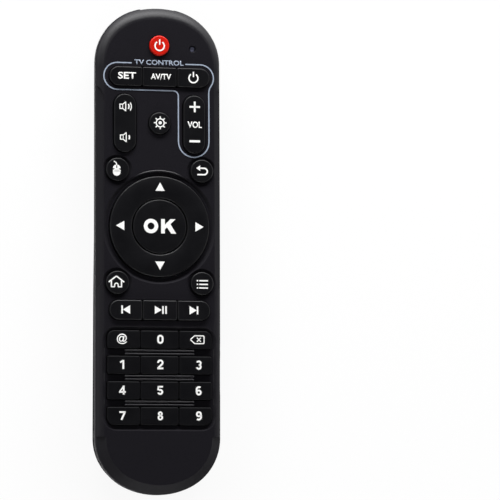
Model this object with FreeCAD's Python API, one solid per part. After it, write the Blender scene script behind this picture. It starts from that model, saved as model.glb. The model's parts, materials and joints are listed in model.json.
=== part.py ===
"""A hand-held remote control for a television box, as the loose pieces that it comes apart into.

The pieces are worked out in the frame of the circuit board: X to the right, Y towards the end that
points at the television, Z out through the keys. The back has a low bulge over the batteries and a
foot under the head, so the finished remote is tipped about X until both lie on the table.
Every length is in millimetres.
"""
import FreeCAD, Part
import math
import os
from FreeCAD import Vector

# Outline of the body, seen from the front
body_length = 182.0
body_width = 47.0
head_tip_flattening = 9.5
head_shoulder_tightening = 2.5
tail_tip_flattening = 4.0
tail_shoulder_tightening = 3.3

# Heights in the board frame
case_wall = 1.8
joint_height = 12.0
cover_underside = 16.6
face_crest_height = 19.0
face_crest_from_tail = 61.0
face_radius = 5000.0
head_round = 5.2
side_round = 3.4

# Back of the body: battery bulge, raised waist and the foot under the head
bulge_height = 0.0
bulge_from_tail = 47.5
bulge_flat = 43.0
head_foot_height = 4.0
head_foot_from_tip = 20.0
head_foot_flat = 14.0
waist_lift = 3.3
tail_lift = 6.2
rear_inset = 0.3
rear_taper = 1.3
rear_depth = 14.0
back_round = 4.6
back_round_head = 1.8
back_edge_least = 1.0
waist_points = 10
tail_points = 4
inner_slope = 2.4

# Facets along the sides and round the tail of the front cover
facet_width = 2.5
facet_drop = 3.6
facet_top_from_tip = 28.5
facet_length = 79.3
facet_corner = 7.0
tail_facet_length = 21.4

# Inside of the front cover
full_hollow_from_tip = 21.0
head_hollow_height = 14.8
head_hollow_slope = 2.6
boss_length = 4.0
boss_reach = 3.3
boss_places_from_tip = [49.0, 91.0, 112.0, 166.0]

# Lip between the two covers
lip_thickness = 0.8
lip_height = 1.2
fit_gap = 0.1

# Board, mat and what they carry
board_thickness = 1.0
board_inset = 2.4
board_head_gap = 6.0
board_underside = 13.65
mat_thickness = 0.4
mat_inset = 4.6
pad_thickness = 0.08
pad_radius = 1.9
post_radius = 1.6
post_side_margin = 7.0
post_places_from_tip = [27.0, 87.0]

# Keys: travel and clearances
key_travel = 0.7
key_gap = 0.25
rocker_gap = 0.35
slit = 0.15
stop_gap = 0.04
flange_gap = 0.15
flange_reach = 0.7
key_proud = 1.0
key_edge = 0.5
puck_radius = 1.6

# Key places, measured from the tip of the head
power_radius = 3.75
power_from_tip = 15.0
lamp_margin = 10.8
lamp_from_tip = 15.8
lamp_radius = 0.85
lamp_hole_radius = 1.45
lamp_hole_bevel = 0.4
tv_row_from_tip = 26.8
tv_row_height = 7.2
rocker_from_tip = 44.4
rocker_length = 21.8
rocker_width = 8.3
rocker_swing = 4.0
rocker_ear = 0.8
rocker_ear_length = 3.0
rocker_puck_offset = 7.0
gear_radius = 4.1
gear_from_tip = 44.2
upper_corner_from_tip = 61.8
lower_corner_from_tip = 103.8
corner_radius = 4.3
corner_dish_margin = 1.3
corner_dish_depth = 0.6
corner_dish_bevel = 0.7
ring_from_tip = 82.8
ring_dish_depth = 0.8
ring_dish_bevel = 1.3
ring_dish_margin = 2.45
ring_bore_radius = 10.45
ring_swing = 2.5
ring_crown = 0.4
ring_proud = 0.5
ok_gap = 0.35
ok_crown = 0.45
ok_flat = 1.0
stem_radius = 1.5
media_row_from_tip = 113.9
media_row_height = 7.3
row_middle_width = 13.0
pad_from_tip = 119.95
pad_bevel = 1.5
pad_depth = 0.9
pad_corner = 6.0
pad_border = 2.25
pad_key_height = 6.7
pad_pitch = 9.42
pad_key_corner = 2.8
pad_first_row = 4.8
pad_last_margin = 2.3
pad_middle_width = 14.4
pad_proud = 1.2
small_corner = 0.7
rib_length = 26.0
rib_width = 0.62
rib_spacing = 1.25
rib_height = 1.0

# Margins from the side of the body to the key groups
row_margin = 4.55
rocker_margin = 10.4
corner_margin = 7.6
ring_margin = 4.75
pad_margin = 1.6

# Window for the infrared lamp in the head
window_top_width = 16.0
window_bottom_width = 6.6
window_bottom = 8.6
window_height = 6.0
window_recess = 1.7
window_gap = 0.1
window_flange = 0.9
window_flange_setback = 3.3
window_flange_thickness = 0.9
infrared_radius = 2.4
infrared_length = 6.4
infrared_height = 10.6
infrared_gap = 0.4
infrared_flat = 0.5
lead_width = 0.5

# Battery bay and the batteries
cell_diameter = 10.5
cell_length = 44.5
cell_nub_radius = 1.9
cell_nub_length = 0.9
cell_spacing = 11.1
cell_height = 7.1
spring_length = 4.2
bay_from_tail = 19.5
bay_side_gap = 1.3
bay_roof_gap = 0.15
bay_wall = 1.2
roof_gap = 0.1
contact_thickness = 0.4
contact_width = 8.0
contact_bottom = 3.2
contact_height = 8.2
tab_width = 2.0
spring_base_radius = 3.4
spring_tip_radius = 2.4

# Battery door and its latch
door_width = 31.4
door_from_tail = 11.0
door_length = 67.0
door_top_corner = 9.5
door_bottom_corner = 12.5
door_corner_relief = 1.2
door_thickness = 1.5
door_gap = 0.15
door_sink = 0.15
door_swing = 70.0
ledge = 1.2
ledge_margin = 1.5
hook_inner = 1.5
hook_thickness = 0.9
hook_width = 5.0
hook_hold = 70.0
hook_start = 5.0
hook_skin = 0.3
hinge_relief = 9.5
latch_slot_width = 12.3
latch_slot_length = 6.0
latch_root_room = 1.1
latch_bar_width = 7.0
latch_bar_length = 2.3
latch_thickness = 0.9
latch_leg_width = 5.2
latch_depth = 4.2
latch_gap = 0.3
latch_sink = 0.4
latch_swing = 6.0
thumb_radius = 5.1
thumb_depth = 1.3
latch_block_margin = 1.3

# Parts on the board
chip_size = (9.0, 7.0, 1.6)
chip_from_tip = 62.0
capacitor_radius = 2.5
capacitor_length = 5.4
capacitor_margin = 14.5
capacitor_from_tip = 46.0
crystal_size = (4.4, 2.2, 1.6)
crystal_margin = 14.5
crystal_from_tip = 52.0
resistor_size = (1.6, 0.8, 0.5)
resistor_pitch = 3.0
resistor_count = 5
resistor_margin = 11.5
resistor_from_tip = 38.0
transistor_size = (2.9, 1.6, 1.1)
transistor_margin = 17.5
transistor_from_tip = 24.0
lamp_chip_size = (1.6, 0.8, 0.6)

# Far enough to pass right through the body, past its ends, and clear of a face
beyond = 60.0
overrun = 2.0
clear_height = 1.0

head_y = body_length / 2
tail_y = -body_length / 2
board_top = board_underside + board_thickness
mat_top = board_top + mat_thickness
pad_top = board_top + pad_thickness
flange_bottom = mat_top + key_travel + stop_gap
flange_top = cover_underside - flange_gap
puck_bottom = pad_top + key_travel + stop_gap
half_width = body_width / 2
head_tip_radius = half_width + head_tip_flattening
head_shoulder_radius = half_width - head_shoulder_tightening
tail_tip_radius = half_width + tail_tip_flattening
tail_shoulder_radius = half_width - tail_shoulder_tightening
bulge_y = tail_y + bulge_from_tail
foot_y = head_y - head_foot_from_tip
table_slope = (head_foot_height - bulge_height) / (foot_y - bulge_y)
tip_angle = math.degrees(math.atan(table_slope))

os.makedirs("parts", exist_ok=True)
workbench = FreeCAD.newDocument("remote")


def table_height(y):
    """Height of the table top under the body, in the board frame."""
    return bulge_height + (y - bulge_y) * table_slope


bulge_end = bulge_y + bulge_flat / 2
bulge_start = bulge_y - bulge_flat / 2
foot_start = foot_y - head_foot_flat / 2


def back_height(y):
    """Height of the back's surface: flat on the bulge and the foot, arched between, lifted at the tail."""
    height = table_height(y)
    if bulge_end < y < foot_start:
        height += waist_lift * math.sin(math.pi * (y - bulge_end) / (foot_start - bulge_end)) ** 2
    if y < bulge_start:
        height += tail_lift * ((bulge_start - y) / (bulge_start - tail_y)) ** 2
    return height


def face_height(y):
    """Height of the front face, a very large circle over the whole length."""
    crest_y = tail_y + face_crest_from_tail
    return face_crest_height - face_radius + math.sqrt(face_radius ** 2 - (y - crest_y) ** 2)


def box(x0, y0, z0, x1, y1, z1):
    return Part.makeBox(x1 - x0, y1 - y0, z1 - z0, Vector(x0, y0, z0))


def centred_box(x, y, z0, size):
    return box(x - size[0] / 2, y - size[1] / 2, z0, x + size[0] / 2, y + size[1] / 2, z0 + size[2])


def disc(x, y, radius, z0, z1):
    return Part.makeCylinder(radius, z1 - z0, Vector(x, y, z0))


def line(a, b):
    return Part.LineSegment(a, b).toShape()


def arc(a, b, c):
    return Part.Arc(a, b, c).toShape()


def rounded_wire(x0, y0, x1, y1, radii, z):
    """A rectangle whose four corners (left tail, right tail, right head, left head) are rounded."""
    most = min(x1 - x0, y1 - y0) / 2 - fit_gap / 2
    low_left, low_right, high_right, high_left = [min(r, most) for r in radii]
    corners = [(x0 + low_left, y0 + low_left, low_left, math.pi),
               (x1 - low_right, y0 + low_right, low_right, 1.5 * math.pi),
               (x1 - high_right, y1 - high_right, high_right, 0.0),
               (x0 + high_left, y1 - high_left, high_left, 0.5 * math.pi)]
    edges = []
    previous = None
    first = None
    for x, y, r, start in corners:
        turns = [start + k * math.pi / 4 for k in range(3)]
        points = [Vector(x + r * math.cos(turn), y + r * math.sin(turn), z) for turn in turns]
        if previous is None:
            first = points[0]
        else:
            edges.append(line(previous, points[0]))
        edges.append(arc(*points))
        previous = points[2]
    edges.append(line(previous, first))
    return Part.Wire(edges)


def prism(wire, height):
    return Part.Face(wire).extrude(Vector(0, 0, height))


def rounded_block(x0, y0, x1, y1, radii, z0, z1):
    return prism(rounded_wire(x0, y0, x1, y1, radii, z0), z1 - z0)


def loft(wires):
    return Part.makeLoft(wires, True, True)


def outline(inset, z):
    """The body's outline moved in by a distance: straight sides, shoulder arcs and a tip arc at each end."""
    half_length = body_length / 2 - inset

    def end(tip_radius, shoulder_radius):
        half = body_width / 2 - inset
        tip = tip_radius - inset
        shoulder = shoulder_radius - inset
        shoulder_x = half - shoulder
        tip_y = half_length - tip
        shoulder_y = tip_y + math.sqrt((tip - shoulder) ** 2 - shoulder_x ** 2)
        turn = math.atan2(shoulder_y - tip_y, shoulder_x)
        join = (shoulder_x + shoulder * math.cos(turn), shoulder_y + shoulder * math.sin(turn))
        middle = (shoulder_x + shoulder * math.cos(turn / 2), shoulder_y + shoulder * math.sin(turn / 2))
        return (half, shoulder_y), middle, join

    def point(place, side, direction):
        return Vector(side * place[0], direction * place[1], z)

    ends = {1: end(head_tip_radius, head_shoulder_radius),
            -1: end(tail_tip_radius, tail_shoulder_radius)}
    edges = []
    for direction in (1, -1):
        start, middle, join = ends[direction]
        side = direction
        tip = Vector(0, direction * half_length, z)
        edges.append(arc(point(start, side, direction), point(middle, side, direction),
                         point(join, side, direction)))
        edges.append(arc(point(join, side, direction), tip, point(join, -side, direction)))
        edges.append(arc(point(join, -side, direction), point(middle, -side, direction),
                         point(start, -side, direction)))
        edges.append(line(point(start, -side, direction), point(ends[-direction][0], -side, -direction)))
    return Part.Wire(edges)


def under_face(drop):
    """Everything below the front face lowered by a distance."""
    y0 = tail_y - overrun
    y1 = head_y + overrun
    side = [Vector(-beyond, y, face_height(y) - drop) for y in (y0, 0.0, y1)]
    floor = [Vector(-beyond, y, -beyond) for y in (y1, y0)]
    wire = Part.Wire([arc(*side), line(side[2], floor[0]), line(floor[0], floor[1]), line(floor[1], side[0])])
    return Part.Face(wire).extrude(Vector(2 * beyond, 0, 0))


def over_back(lift):
    """Everything above the back's surface raised by a distance."""
    def point(y):
        return Vector(-beyond, y, back_height(y) + lift)

    def curve(y0, y1, steps):
        spline = Part.BSplineCurve()
        places = [point(y0 + (y1 - y0) * k / steps) for k in range(steps + 1)]
        spline.interpolate(Points=places)
        return spline.toShape()

    past_tail = tail_y - overrun
    past_head = head_y + overrun
    roof = [Vector(-beyond, y, beyond) for y in (past_head, past_tail)]
    wire = Part.Wire([curve(past_tail, bulge_start, tail_points), line(point(bulge_start), point(bulge_end)),
                      curve(bulge_end, foot_start, waist_points), line(point(foot_start), point(past_head)),
                      line(point(past_head), roof[0]), line(roof[0], roof[1]),
                      line(roof[1], point(past_tail))])
    return Part.Face(wire).extrude(Vector(2 * beyond, 0, 0))


def round_edges(solid, wanted, radius_at):
    """Rounds the edges that pass a test, with a radius that may change along an edge."""
    base = workbench.addObject("Part::Feature", "base")
    base.Shape = solid
    rounded = workbench.addObject("Part::Fillet", "rounded")
    rounded.Base = base
    rows = []
    for index, edge in enumerate(solid.Edges):
        if wanted(edge):
            first = edge.Vertexes[0].Point
            last = edge.Vertexes[-1].Point
            rows.append((index + 1, radius_at(first), radius_at(last)))
    rounded.Edges = rows
    workbench.recompute()
    result = rounded.Shape.copy()
    workbench.removeObject(rounded.Name)
    workbench.removeObject(base.Name)
    return result


def soften(solid, radius, z):
    """Rounds the upper rim of a key cap at a height."""
    rim = [edge for edge in solid.Edges if edge.BoundBox.ZMin > z - fit_gap / 10]
    return solid.makeFillet(radius, rim)


def is_rim(edge, above):
    bounds = edge.BoundBox
    flat = max(bounds.XLength, bounds.YLength)
    return bounds.ZMin > above and flat > fit_gap


def raised(solid, height):
    return solid.translated(Vector(0, 0, height))


def frustum(x, y, radius, bevel, floor, depth):
    """A round dish: its radius at the face, a bevelled edge, and a flat floor."""
    height = depth + clear_height
    return Part.makeCone(radius - bevel, radius + bevel * clear_height / depth, height, Vector(x, y, floor))


# The front cover's outer form, with facets cut along the sides and round the tail
front_block = prism(outline(0.0, joint_height), beyond).common(under_face(0.0))
shoulder_line = head_y - head_round - head_shoulder_radius / 2


def face_radius_at(point):
    return head_round if point.y > shoulder_line else side_round


def top_edge(edge):
    return is_rim(edge, joint_height + side_round)


rounded_form = round_edges(front_block, top_edge, face_radius_at)
faceted_form = front_block.makeChamfer(facet_width, facet_drop, [e for e in front_block.Edges if top_edge(e)])
facet_top = head_y - facet_top_from_tip
facet_inner = half_width - facet_width - fit_gap
facet_zones = [box(-beyond, tail_y - beyond, joint_height, beyond, tail_y + tail_facet_length, beyond)]
for side in (-1, 1):
    x0, x1 = sorted((side * facet_inner, side * beyond))
    facet_zones.append(rounded_block(x0, facet_top - facet_length, x1, facet_top, [facet_corner] * 4,
                                     joint_height, beyond))
front_form = rounded_form.cut([zone.cut(faceted_form) for zone in facet_zones])

# The rear cover's outer form


def tapered_block(inset, taper):
    """The rear cover's plan moved in by a distance, narrower at the bottom."""
    return loft([outline(inset, joint_height), outline(inset + taper, joint_height - rear_depth)])


rear_block = tapered_block(rear_inset, rear_taper).common(over_back(0.0))


def back_edge(edge):
    bounds = edge.BoundBox
    return bounds.ZMax < joint_height - fit_gap and bounds.YLength > fit_gap and edge.Length > back_edge_least


def back_radius_at(point):
    return back_round_head if point.y > shoulder_line else back_round


rear_form = round_edges(rear_block, back_edge, back_radius_at)


# Places of the keys
lamp_offset = half_width - lamp_margin
power_y = head_y - power_from_tip
lamp_y = head_y - lamp_from_tip
tv_row_y = head_y - tv_row_from_tip
rocker_y = head_y - rocker_from_tip
gear_y = head_y - gear_from_tip
upper_corner_y = head_y - upper_corner_from_tip
lower_corner_y = head_y - lower_corner_from_tip
ring_y = head_y - ring_from_tip
media_row_y = head_y - media_row_from_tip
pad_y = head_y - pad_from_tip
row_half = half_width - row_margin
rocker_x = half_width - rocker_margin
corner_x = half_width - corner_margin
ring_radius = half_width - ring_margin
ring_dish_radius = ring_radius + ring_dish_margin
ring_dish_floor = face_height(ring_y) - ring_dish_depth
pad_half = half_width - pad_margin
pad_key_half = pad_half - pad_border
pad_floor = face_height(pad_y) - pad_depth
pad_rows = [["key_at", "key_0", "key_delete"], ["key_1", "key_2", "key_3"],
            ["key_4", "key_5", "key_6"], ["key_7", "key_8", "key_9"]]
pad_row_y = [pad_y - pad_first_row - k * pad_pitch for k in range(len(pad_rows))]
pad_end_y = pad_row_y[-1] - pad_key_height / 2 - pad_last_margin


def round_plan(x, y, radius):
    """The plan of a round key: a function that gives the block of that plan, grown on every side."""
    def block(grow, z0, z1):
        return disc(x, y, radius + grow, z0, z1)
    return block


def bar_plan(x0, y0, x1, y1, radii, grow_left=True, grow_right=True):
    """The plan of a straight key, which may have to stay at its size where it meets the next key."""
    def block(grow, z0, z1):
        left = grow if grow_left else 0.0
        right = grow if grow_right else 0.0
        grown = [radii[0] + left, radii[1] + right, radii[2] + right, radii[3] + left]
        return rounded_block(x0 - left, y0 - grow, x1 + right, y1 + grow, grown, z0, z1)
    return block


def row_keys(names, y, height, half, middle, corners):
    """Three keys side by side in one slot, with a slit between them."""
    inner = middle / 2
    plans = []
    edges = [(-half, -inner - slit), (-inner, inner), (inner + slit, half)]
    for k, name in enumerate(names):
        x0, x1 = edges[k]
        plan = bar_plan(x0, y - height / 2, x1, y + height / 2, corners[k], k == 0, k == 2)
        plans.append((name, plan, (x0 + x1) / 2, y))
    return plans


def end_corners(radius):
    """Corner radii of a row's three keys when the row's ends are round."""
    s = small_corner
    return [[radius, s, s, radius], [s] * 4, [s, radius, radius, s]]


def make_key(plan, x, y, top):
    """A key: its cap, the flange that keeps it under the cover, and the puck that closes the contact."""
    cap = soften(plan(0.0, flange_bottom, top), key_edge, top)
    flange = plan(key_gap + flange_reach, flange_bottom, flange_top)
    puck = disc(x, y, puck_radius, puck_bottom, flange_bottom + fit_gap)
    return cap.fuse([flange, puck]).removeSplitter()


nodes = {}
slots = []
contact_places = []

# Round keys
round_keys = [("power_key", 0.0, power_y, power_radius), ("settings_key", 0.0, gear_y, gear_radius),
              ("mouse_key", -corner_x, upper_corner_y, corner_radius),
              ("back_key", corner_x, upper_corner_y, corner_radius),
              ("home_key", -corner_x, lower_corner_y, corner_radius),
              ("menu_key", corner_x, lower_corner_y, corner_radius)]
for name, x, y, radius in round_keys:
    plan = round_plan(x, y, radius)
    nodes[name] = make_key(plan, x, y, face_height(y) + key_proud)
    slots.append(plan(key_gap, joint_height, beyond))
    contact_places.append((x, y))

# Rows of three keys
row_groups = [(["set_key", "input_key", "tv_power_key"], tv_row_y, tv_row_height, row_half, row_middle_width,
               end_corners(tv_row_height / 2), face_height(tv_row_y) + key_proud),
              (["previous_key", "play_pause_key", "next_key"], media_row_y, media_row_height, row_half,
               row_middle_width, end_corners(media_row_height / 2), face_height(media_row_y) + key_proud)]
last_row = len(pad_rows) - 1
for k, names in enumerate(pad_rows):
    s = small_corner
    head_corner = pad_key_corner if k == 0 else s
    tail_corner = pad_key_corner if k == last_row else s
    corners = [[tail_corner, s, s, head_corner], [s] * 4, [s, tail_corner, head_corner, s]]
    row_groups.append((names, pad_row_y[k], pad_key_height, pad_key_half, pad_middle_width, corners,
                       pad_floor + pad_proud))
for names, y, height, half, middle, corners, top in row_groups:
    for name, plan, x, y in row_keys(names, y, height, half, middle, corners):
        nodes[name] = make_key(plan, x, y, top)
        contact_places.append((x, y))
    whole = bar_plan(-half, y - height / 2, half, y + height / 2,
                     [corners[0][0], corners[2][1], corners[2][2], corners[0][3]])
    slots.append(whole(key_gap, joint_height, beyond))

# Two rockers, each on a pair of ears under the cover
rocker_end = rocker_length / 2
rocker_bottom = mat_top + rocker_end * math.sin(math.radians(rocker_swing)) + stop_gap
rocker_puck_reach = rocker_puck_offset + puck_radius
rocker_puck_bottom = pad_top + rocker_puck_reach * math.sin(math.radians(rocker_swing)) + stop_gap
rocker_top = face_height(rocker_y) + key_proud
ear_top = flange_top - fit_gap
rocker_half = rocker_width / 2
ear_x = rocker_half + rocker_gap + rocker_ear
for name, x in (("sound_rocker", -rocker_x), ("volume_rocker", rocker_x)):
    plan = bar_plan(x - rocker_half, rocker_y - rocker_end, x + rocker_half, rocker_y + rocker_end,
                    [rocker_half] * 4)
    cap = soften(plan(0.0, rocker_bottom, rocker_top), key_edge, rocker_top)
    ears = box(x - ear_x, rocker_y - rocker_ear_length / 2, rocker_bottom,
               x + ear_x, rocker_y + rocker_ear_length / 2, ear_top)
    pucks = [disc(x, rocker_y + end * rocker_puck_offset, puck_radius,
                  rocker_puck_bottom, rocker_bottom + fit_gap) for end in (-1, 1)]
    nodes[name] = cap.fuse([ears] + pucks).removeSplitter()
    slots.append(plan(rocker_gap, joint_height, beyond))
    contact_places += [(x, rocker_y + end * rocker_puck_offset) for end in (-1, 1)]
rocker_axis_height = (rocker_bottom + ear_top) / 2

# Direction ring, which tips both ways, and the key inside it
ring_tilt = math.radians(ring_swing * math.sqrt(2))
ring_bottom = mat_top + ring_radius * math.sin(ring_tilt) + stop_gap
ring_edge_top = face_height(ring_y) + ring_proud
stem_offset = (ring_radius + ring_bore_radius) / 2
stem_reach = stem_offset + 2 * stem_radius
stem_bottom = pad_top + stem_reach * math.sin(math.radians(ring_swing)) + stop_gap
ring_section = [Vector(ring_bore_radius, 0, ring_bottom), Vector(ring_radius, 0, ring_bottom),
                Vector(ring_radius, 0, ring_edge_top), Vector(stem_offset, 0, ring_edge_top + ring_crown),
                Vector(ring_bore_radius, 0, ring_edge_top)]
ring_wire = Part.Wire([line(ring_section[0], ring_section[1]), line(ring_section[1], ring_section[2]),
                       arc(ring_section[2], ring_section[3], ring_section[4]),
                       line(ring_section[4], ring_section[0])])
ring = Part.Face(ring_wire).revolve(Vector(0, 0, 0), Vector(0, 0, 1), 360)
ring = ring.makeFillet(key_edge, [e for e in ring.Edges
                                  if e.BoundBox.ZMin > ring_edge_top - fit_gap and len(e.Vertexes) == 1])
ring = ring.translated(Vector(0, ring_y, 0))
side_stems = [disc(side * stem_offset, ring_y, stem_radius, stem_bottom, ring_bottom + fit_gap)
              for side in (-1, 1)]
nodes["direction_ring"] = ring.fuse(side_stems).removeSplitter()
end_stems = [disc(0.0, ring_y + side * stem_offset, stem_radius, stem_bottom, ring_bottom - slit)
             for side in (-1, 1)]
nodes["ring_stems_up_down"] = Part.makeCompound(end_stems)
slots.append(disc(0.0, ring_y, ring_radius + rocker_gap, joint_height, beyond))
ok_radius = ring_bore_radius - ok_gap
ok_top = ring_edge_top + ring_crown
dome_radius = (ok_radius ** 2 + ok_crown ** 2) / (2 * ok_crown)


def dome_point(x):
    return Vector(x, 0, ok_top - dome_radius + math.sqrt(dome_radius ** 2 - x ** 2))


ok_dome = [dome_point(x) for x in (ok_radius, (ok_radius + ok_flat) / 2, ok_flat)]
ok_base = [Vector(0, 0, flange_bottom), Vector(ok_radius, 0, flange_bottom)]
ok_tip = Vector(0, 0, ok_dome[2].z)
ok_wire = Part.Wire([line(ok_base[0], ok_base[1]), line(ok_base[1], ok_dome[0]), arc(*ok_dome),
                     line(ok_dome[2], ok_tip), line(ok_tip, ok_base[0])])
ok_cap = Part.Face(ok_wire).revolve(Vector(0, 0, 0), Vector(0, 0, 1), 360)
ok_cap = ok_cap.makeFillet(key_edge, [e for e in ok_cap.Edges
                                      if e.BoundBox.ZMin > flange_bottom and len(e.Vertexes) == 1
                                      and e.BoundBox.XMax > ok_radius - fit_gap])
ok_puck = disc(0.0, ring_y, puck_radius, puck_bottom, flange_bottom + fit_gap)
nodes["ok_key"] = ok_cap.translated(Vector(0, ring_y, 0)).fuse(ok_puck).removeSplitter()
contact_places += [(0.0, ring_y), (-stem_offset, ring_y), (stem_offset, ring_y),
                   (0.0, ring_y - stem_offset), (0.0, ring_y + stem_offset)]

# Indicator lens beside the power key
lens_foot = disc(lamp_offset, lamp_y, lamp_hole_radius, flange_bottom, flange_top)
lens_tip = face_height(lamp_y) - pad_depth
nodes["indicator_lens"] = lens_foot.fuse(disc(lamp_offset, lamp_y, lamp_radius, flange_bottom, lens_tip))
lens_holes = [disc(lamp_offset, lamp_y, lamp_radius + fit_gap, joint_height, beyond),
              frustum(lamp_offset, lamp_y, lamp_hole_radius, lamp_hole_bevel, lens_tip, pad_depth)]

# Window for the infrared lamp, a trapezium that straddles the joint between the covers
window_front = head_y - window_recess
flange_front = head_y - window_flange_setback


def trapezium(grow, y0, y1):
    top = window_top_width / 2 + grow
    bottom = window_bottom_width / 2 + grow
    z0 = window_bottom - grow
    z1 = window_bottom + window_height + grow
    corners = [Vector(-bottom, y0, z0), Vector(bottom, y0, z0), Vector(top, y0, z1), Vector(-top, y0, z1)]
    wire = Part.Wire([line(corners[k], corners[(k + 1) % 4]) for k in range(4)])
    return Part.Face(wire).extrude(Vector(0, y1 - y0, 0))


window_flange_back = flange_front - window_flange_thickness
nodes["infrared_window"] = trapezium(0.0, window_flange_back, window_front).fuse(
    trapezium(window_flange, window_flange_back, flange_front)).removeSplitter()
window_cuts = [trapezium(window_gap, window_flange_back, head_y + beyond),
               trapezium(window_flange + window_gap, window_flange_back - clear_height,
                         flange_front + window_gap)]

# The front cover
hollow_split = head_y - full_hollow_from_tip
hollow_start = joint_height - clear_height
full_hollow = prism(outline(case_wall, hollow_start), cover_underside - hollow_start)
full_hollow = full_hollow.common(box(-beyond, tail_y, 0.0, beyond, hollow_split, beyond))
low_hollow = prism(outline(case_wall, hollow_start), head_hollow_height - hollow_start)
head_hollow = loft([outline(case_wall, head_hollow_height),
                    outline(case_wall + head_hollow_slope, cover_underside)])
lip_room = prism(outline(case_wall - lip_thickness - fit_gap, hollow_start),
                 lip_height + fit_gap + clear_height)
bosses = []
for from_tip in boss_places_from_tip:
    for side in (-1, 1):
        x0, x1 = sorted((side * (half_width - boss_reach), side * half_width))
        y = head_y - from_tip
        boss = box(x0, y - boss_length / 2, board_top, x1, y + boss_length / 2, cover_underside + fit_gap)
        bosses.append(boss.common(front_form))
dishes = [frustum(0.0, ring_y, ring_dish_radius, ring_dish_bevel, ring_dish_floor, ring_dish_depth)]
for side in (-1, 1):
    for y in (upper_corner_y, lower_corner_y):
        dishes.append(frustum(side * corner_x, y, corner_radius + corner_dish_margin, corner_dish_bevel,
                              face_height(y) - corner_dish_depth, corner_dish_depth))
recess_rise = pad_bevel * clear_height / pad_depth
recess_wires = []
for inset, z in ((pad_bevel, pad_floor), (-recess_rise, pad_floor + pad_depth + clear_height)):
    recess_wires.append(rounded_wire(-pad_half + inset, pad_end_y + inset, pad_half - inset, pad_y - inset,
                                     [pad_corner - inset] * 4, z))
recess = loft(recess_wires)
ribs = []
for k in range(last_row):
    middle = (pad_row_y[k] + pad_row_y[k + 1]) / 2
    for side in (-1, 1):
        y = middle + side * rib_spacing / 2
        rib = box(-rib_length / 2, y - rib_width / 2, pad_floor - fit_gap,
                  rib_length / 2, y + rib_width / 2, pad_floor + rib_height)
        ribs.append(soften(rib, rib_width / 2 - fit_gap / 2, pad_floor + rib_height))
front_cover = front_form.cut([full_hollow, low_hollow, head_hollow, lip_room]).fuse(bosses)
front_cover = front_cover.cut(dishes + [recess]).fuse(ribs)
for opening in slots + lens_holes + window_cuts:
    front_cover = front_cover.cut(opening)
nodes["front_cover"] = front_cover

# Circuit board with its printed contact pads, and the mat over it
board = prism(outline(board_inset, board_underside), board_thickness)
board_end = head_y - board_head_gap
nodes["circuit_board"] = board.cut(box(-beyond, board_end, 0.0, beyond, head_y, beyond))
mat = prism(outline(mat_inset, board_top), mat_thickness)
mat = mat.cut(box(-beyond, board_end - mat_inset / 2, 0.0, beyond, head_y, beyond))
mat_holes = [disc(x, y, pad_radius + key_gap, 0.0, beyond) for x, y in contact_places]
lamp_hole = centred_box(lamp_offset, lamp_y, board_top, [size + 2 * key_gap for size in lamp_chip_size])
nodes["keypad_mat"] = mat.cut(mat_holes + [lamp_hole])
contact_pads = [disc(x, y, pad_radius, board_top, pad_top) for x, y in contact_places]
nodes["contact_pads"] = Part.makeCompound(contact_pads)
nodes["indicator_lamp"] = centred_box(lamp_offset, lamp_y, board_top, lamp_chip_size)


def under_board(x, from_tip, size):
    """A part soldered to the underside of the board."""
    return centred_box(x, head_y - from_tip, board_underside - size[2], size)


nodes["control_chip"] = under_board(0.0, chip_from_tip, chip_size)
nodes["resonator"] = under_board(crystal_margin - half_width, crystal_from_tip, crystal_size)
nodes["transistor"] = under_board(half_width - transistor_margin, transistor_from_tip, transistor_size)
nodes["resistors"] = Part.makeCompound([
    under_board(resistor_margin - half_width, resistor_from_tip + k * resistor_pitch, resistor_size)
    for k in range(resistor_count)])
capacitor_foot = Vector(half_width - capacitor_margin, head_y - capacitor_from_tip,
                        board_underside - capacitor_radius)
nodes["capacitor"] = Part.makeCylinder(capacitor_radius, capacitor_length, capacitor_foot, Vector(0, 1, 0))
infrared_back = window_flange_back - infrared_gap - infrared_length
infrared_lamp = Part.makeCylinder(infrared_radius, infrared_length,
                                  Vector(0, infrared_back, infrared_height), Vector(0, 1, 0))
infrared_lamp = infrared_lamp.makeFillet(infrared_radius - infrared_flat, [
    e for e in infrared_lamp.Edges if e.BoundBox.YMin > infrared_back + infrared_length - fit_gap])
leads = [centred_box(side * infrared_radius / 2, infrared_back, infrared_height,
                     (lead_width, lead_width, board_underside - infrared_height)) for side in (-1, 1)]
nodes["infrared_lamp"] = infrared_lamp.fuse(leads).removeSplitter()

# Battery bay, which lies along the table and not along the board
bay_half = cell_spacing / 2 + cell_diameter / 2 + bay_side_gap
bay_length = cell_length + spring_length + 2 * contact_thickness
bay_tail = tail_y + bay_from_tail
bay_head = bay_tail + bay_length
bay_top = cell_height + cell_diameter / 2 + bay_roof_gap
below_board = box(-beyond, tail_y, -beyond, beyond, head_y, board_underside - roof_gap)


def along_table(solid):
    """Tips something drawn level at the bulge so that it lies along the table."""
    return solid.rotated(Vector(0, bulge_y, bulge_height), Vector(1, 0, 0), tip_angle)


bay_room = along_table(box(-bay_half, bay_tail, -beyond, bay_half, bay_head, bay_top))
tub = along_table(box(-bay_half - bay_wall, bay_tail - bay_wall, -beyond / 2,
                      bay_half + bay_wall, bay_head + bay_wall, beyond / 2))
tab_slots = []
tab_back = bay_head - contact_thickness - fit_gap
tab_room = tab_width / 2 + fit_gap
for side in (-1, 1):
    x = side * cell_spacing / 2
    tab_slots.append(along_table(box(x - tab_room, tab_back, bay_top - clear_height,
                                     x + tab_room, bay_head, beyond / 2)))

# Battery door: its plan, its hinge line and the hook behind its tail edge
door_half = door_width / 2
door_tail = tail_y + door_from_tail
door_head = door_tail + door_length


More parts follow.
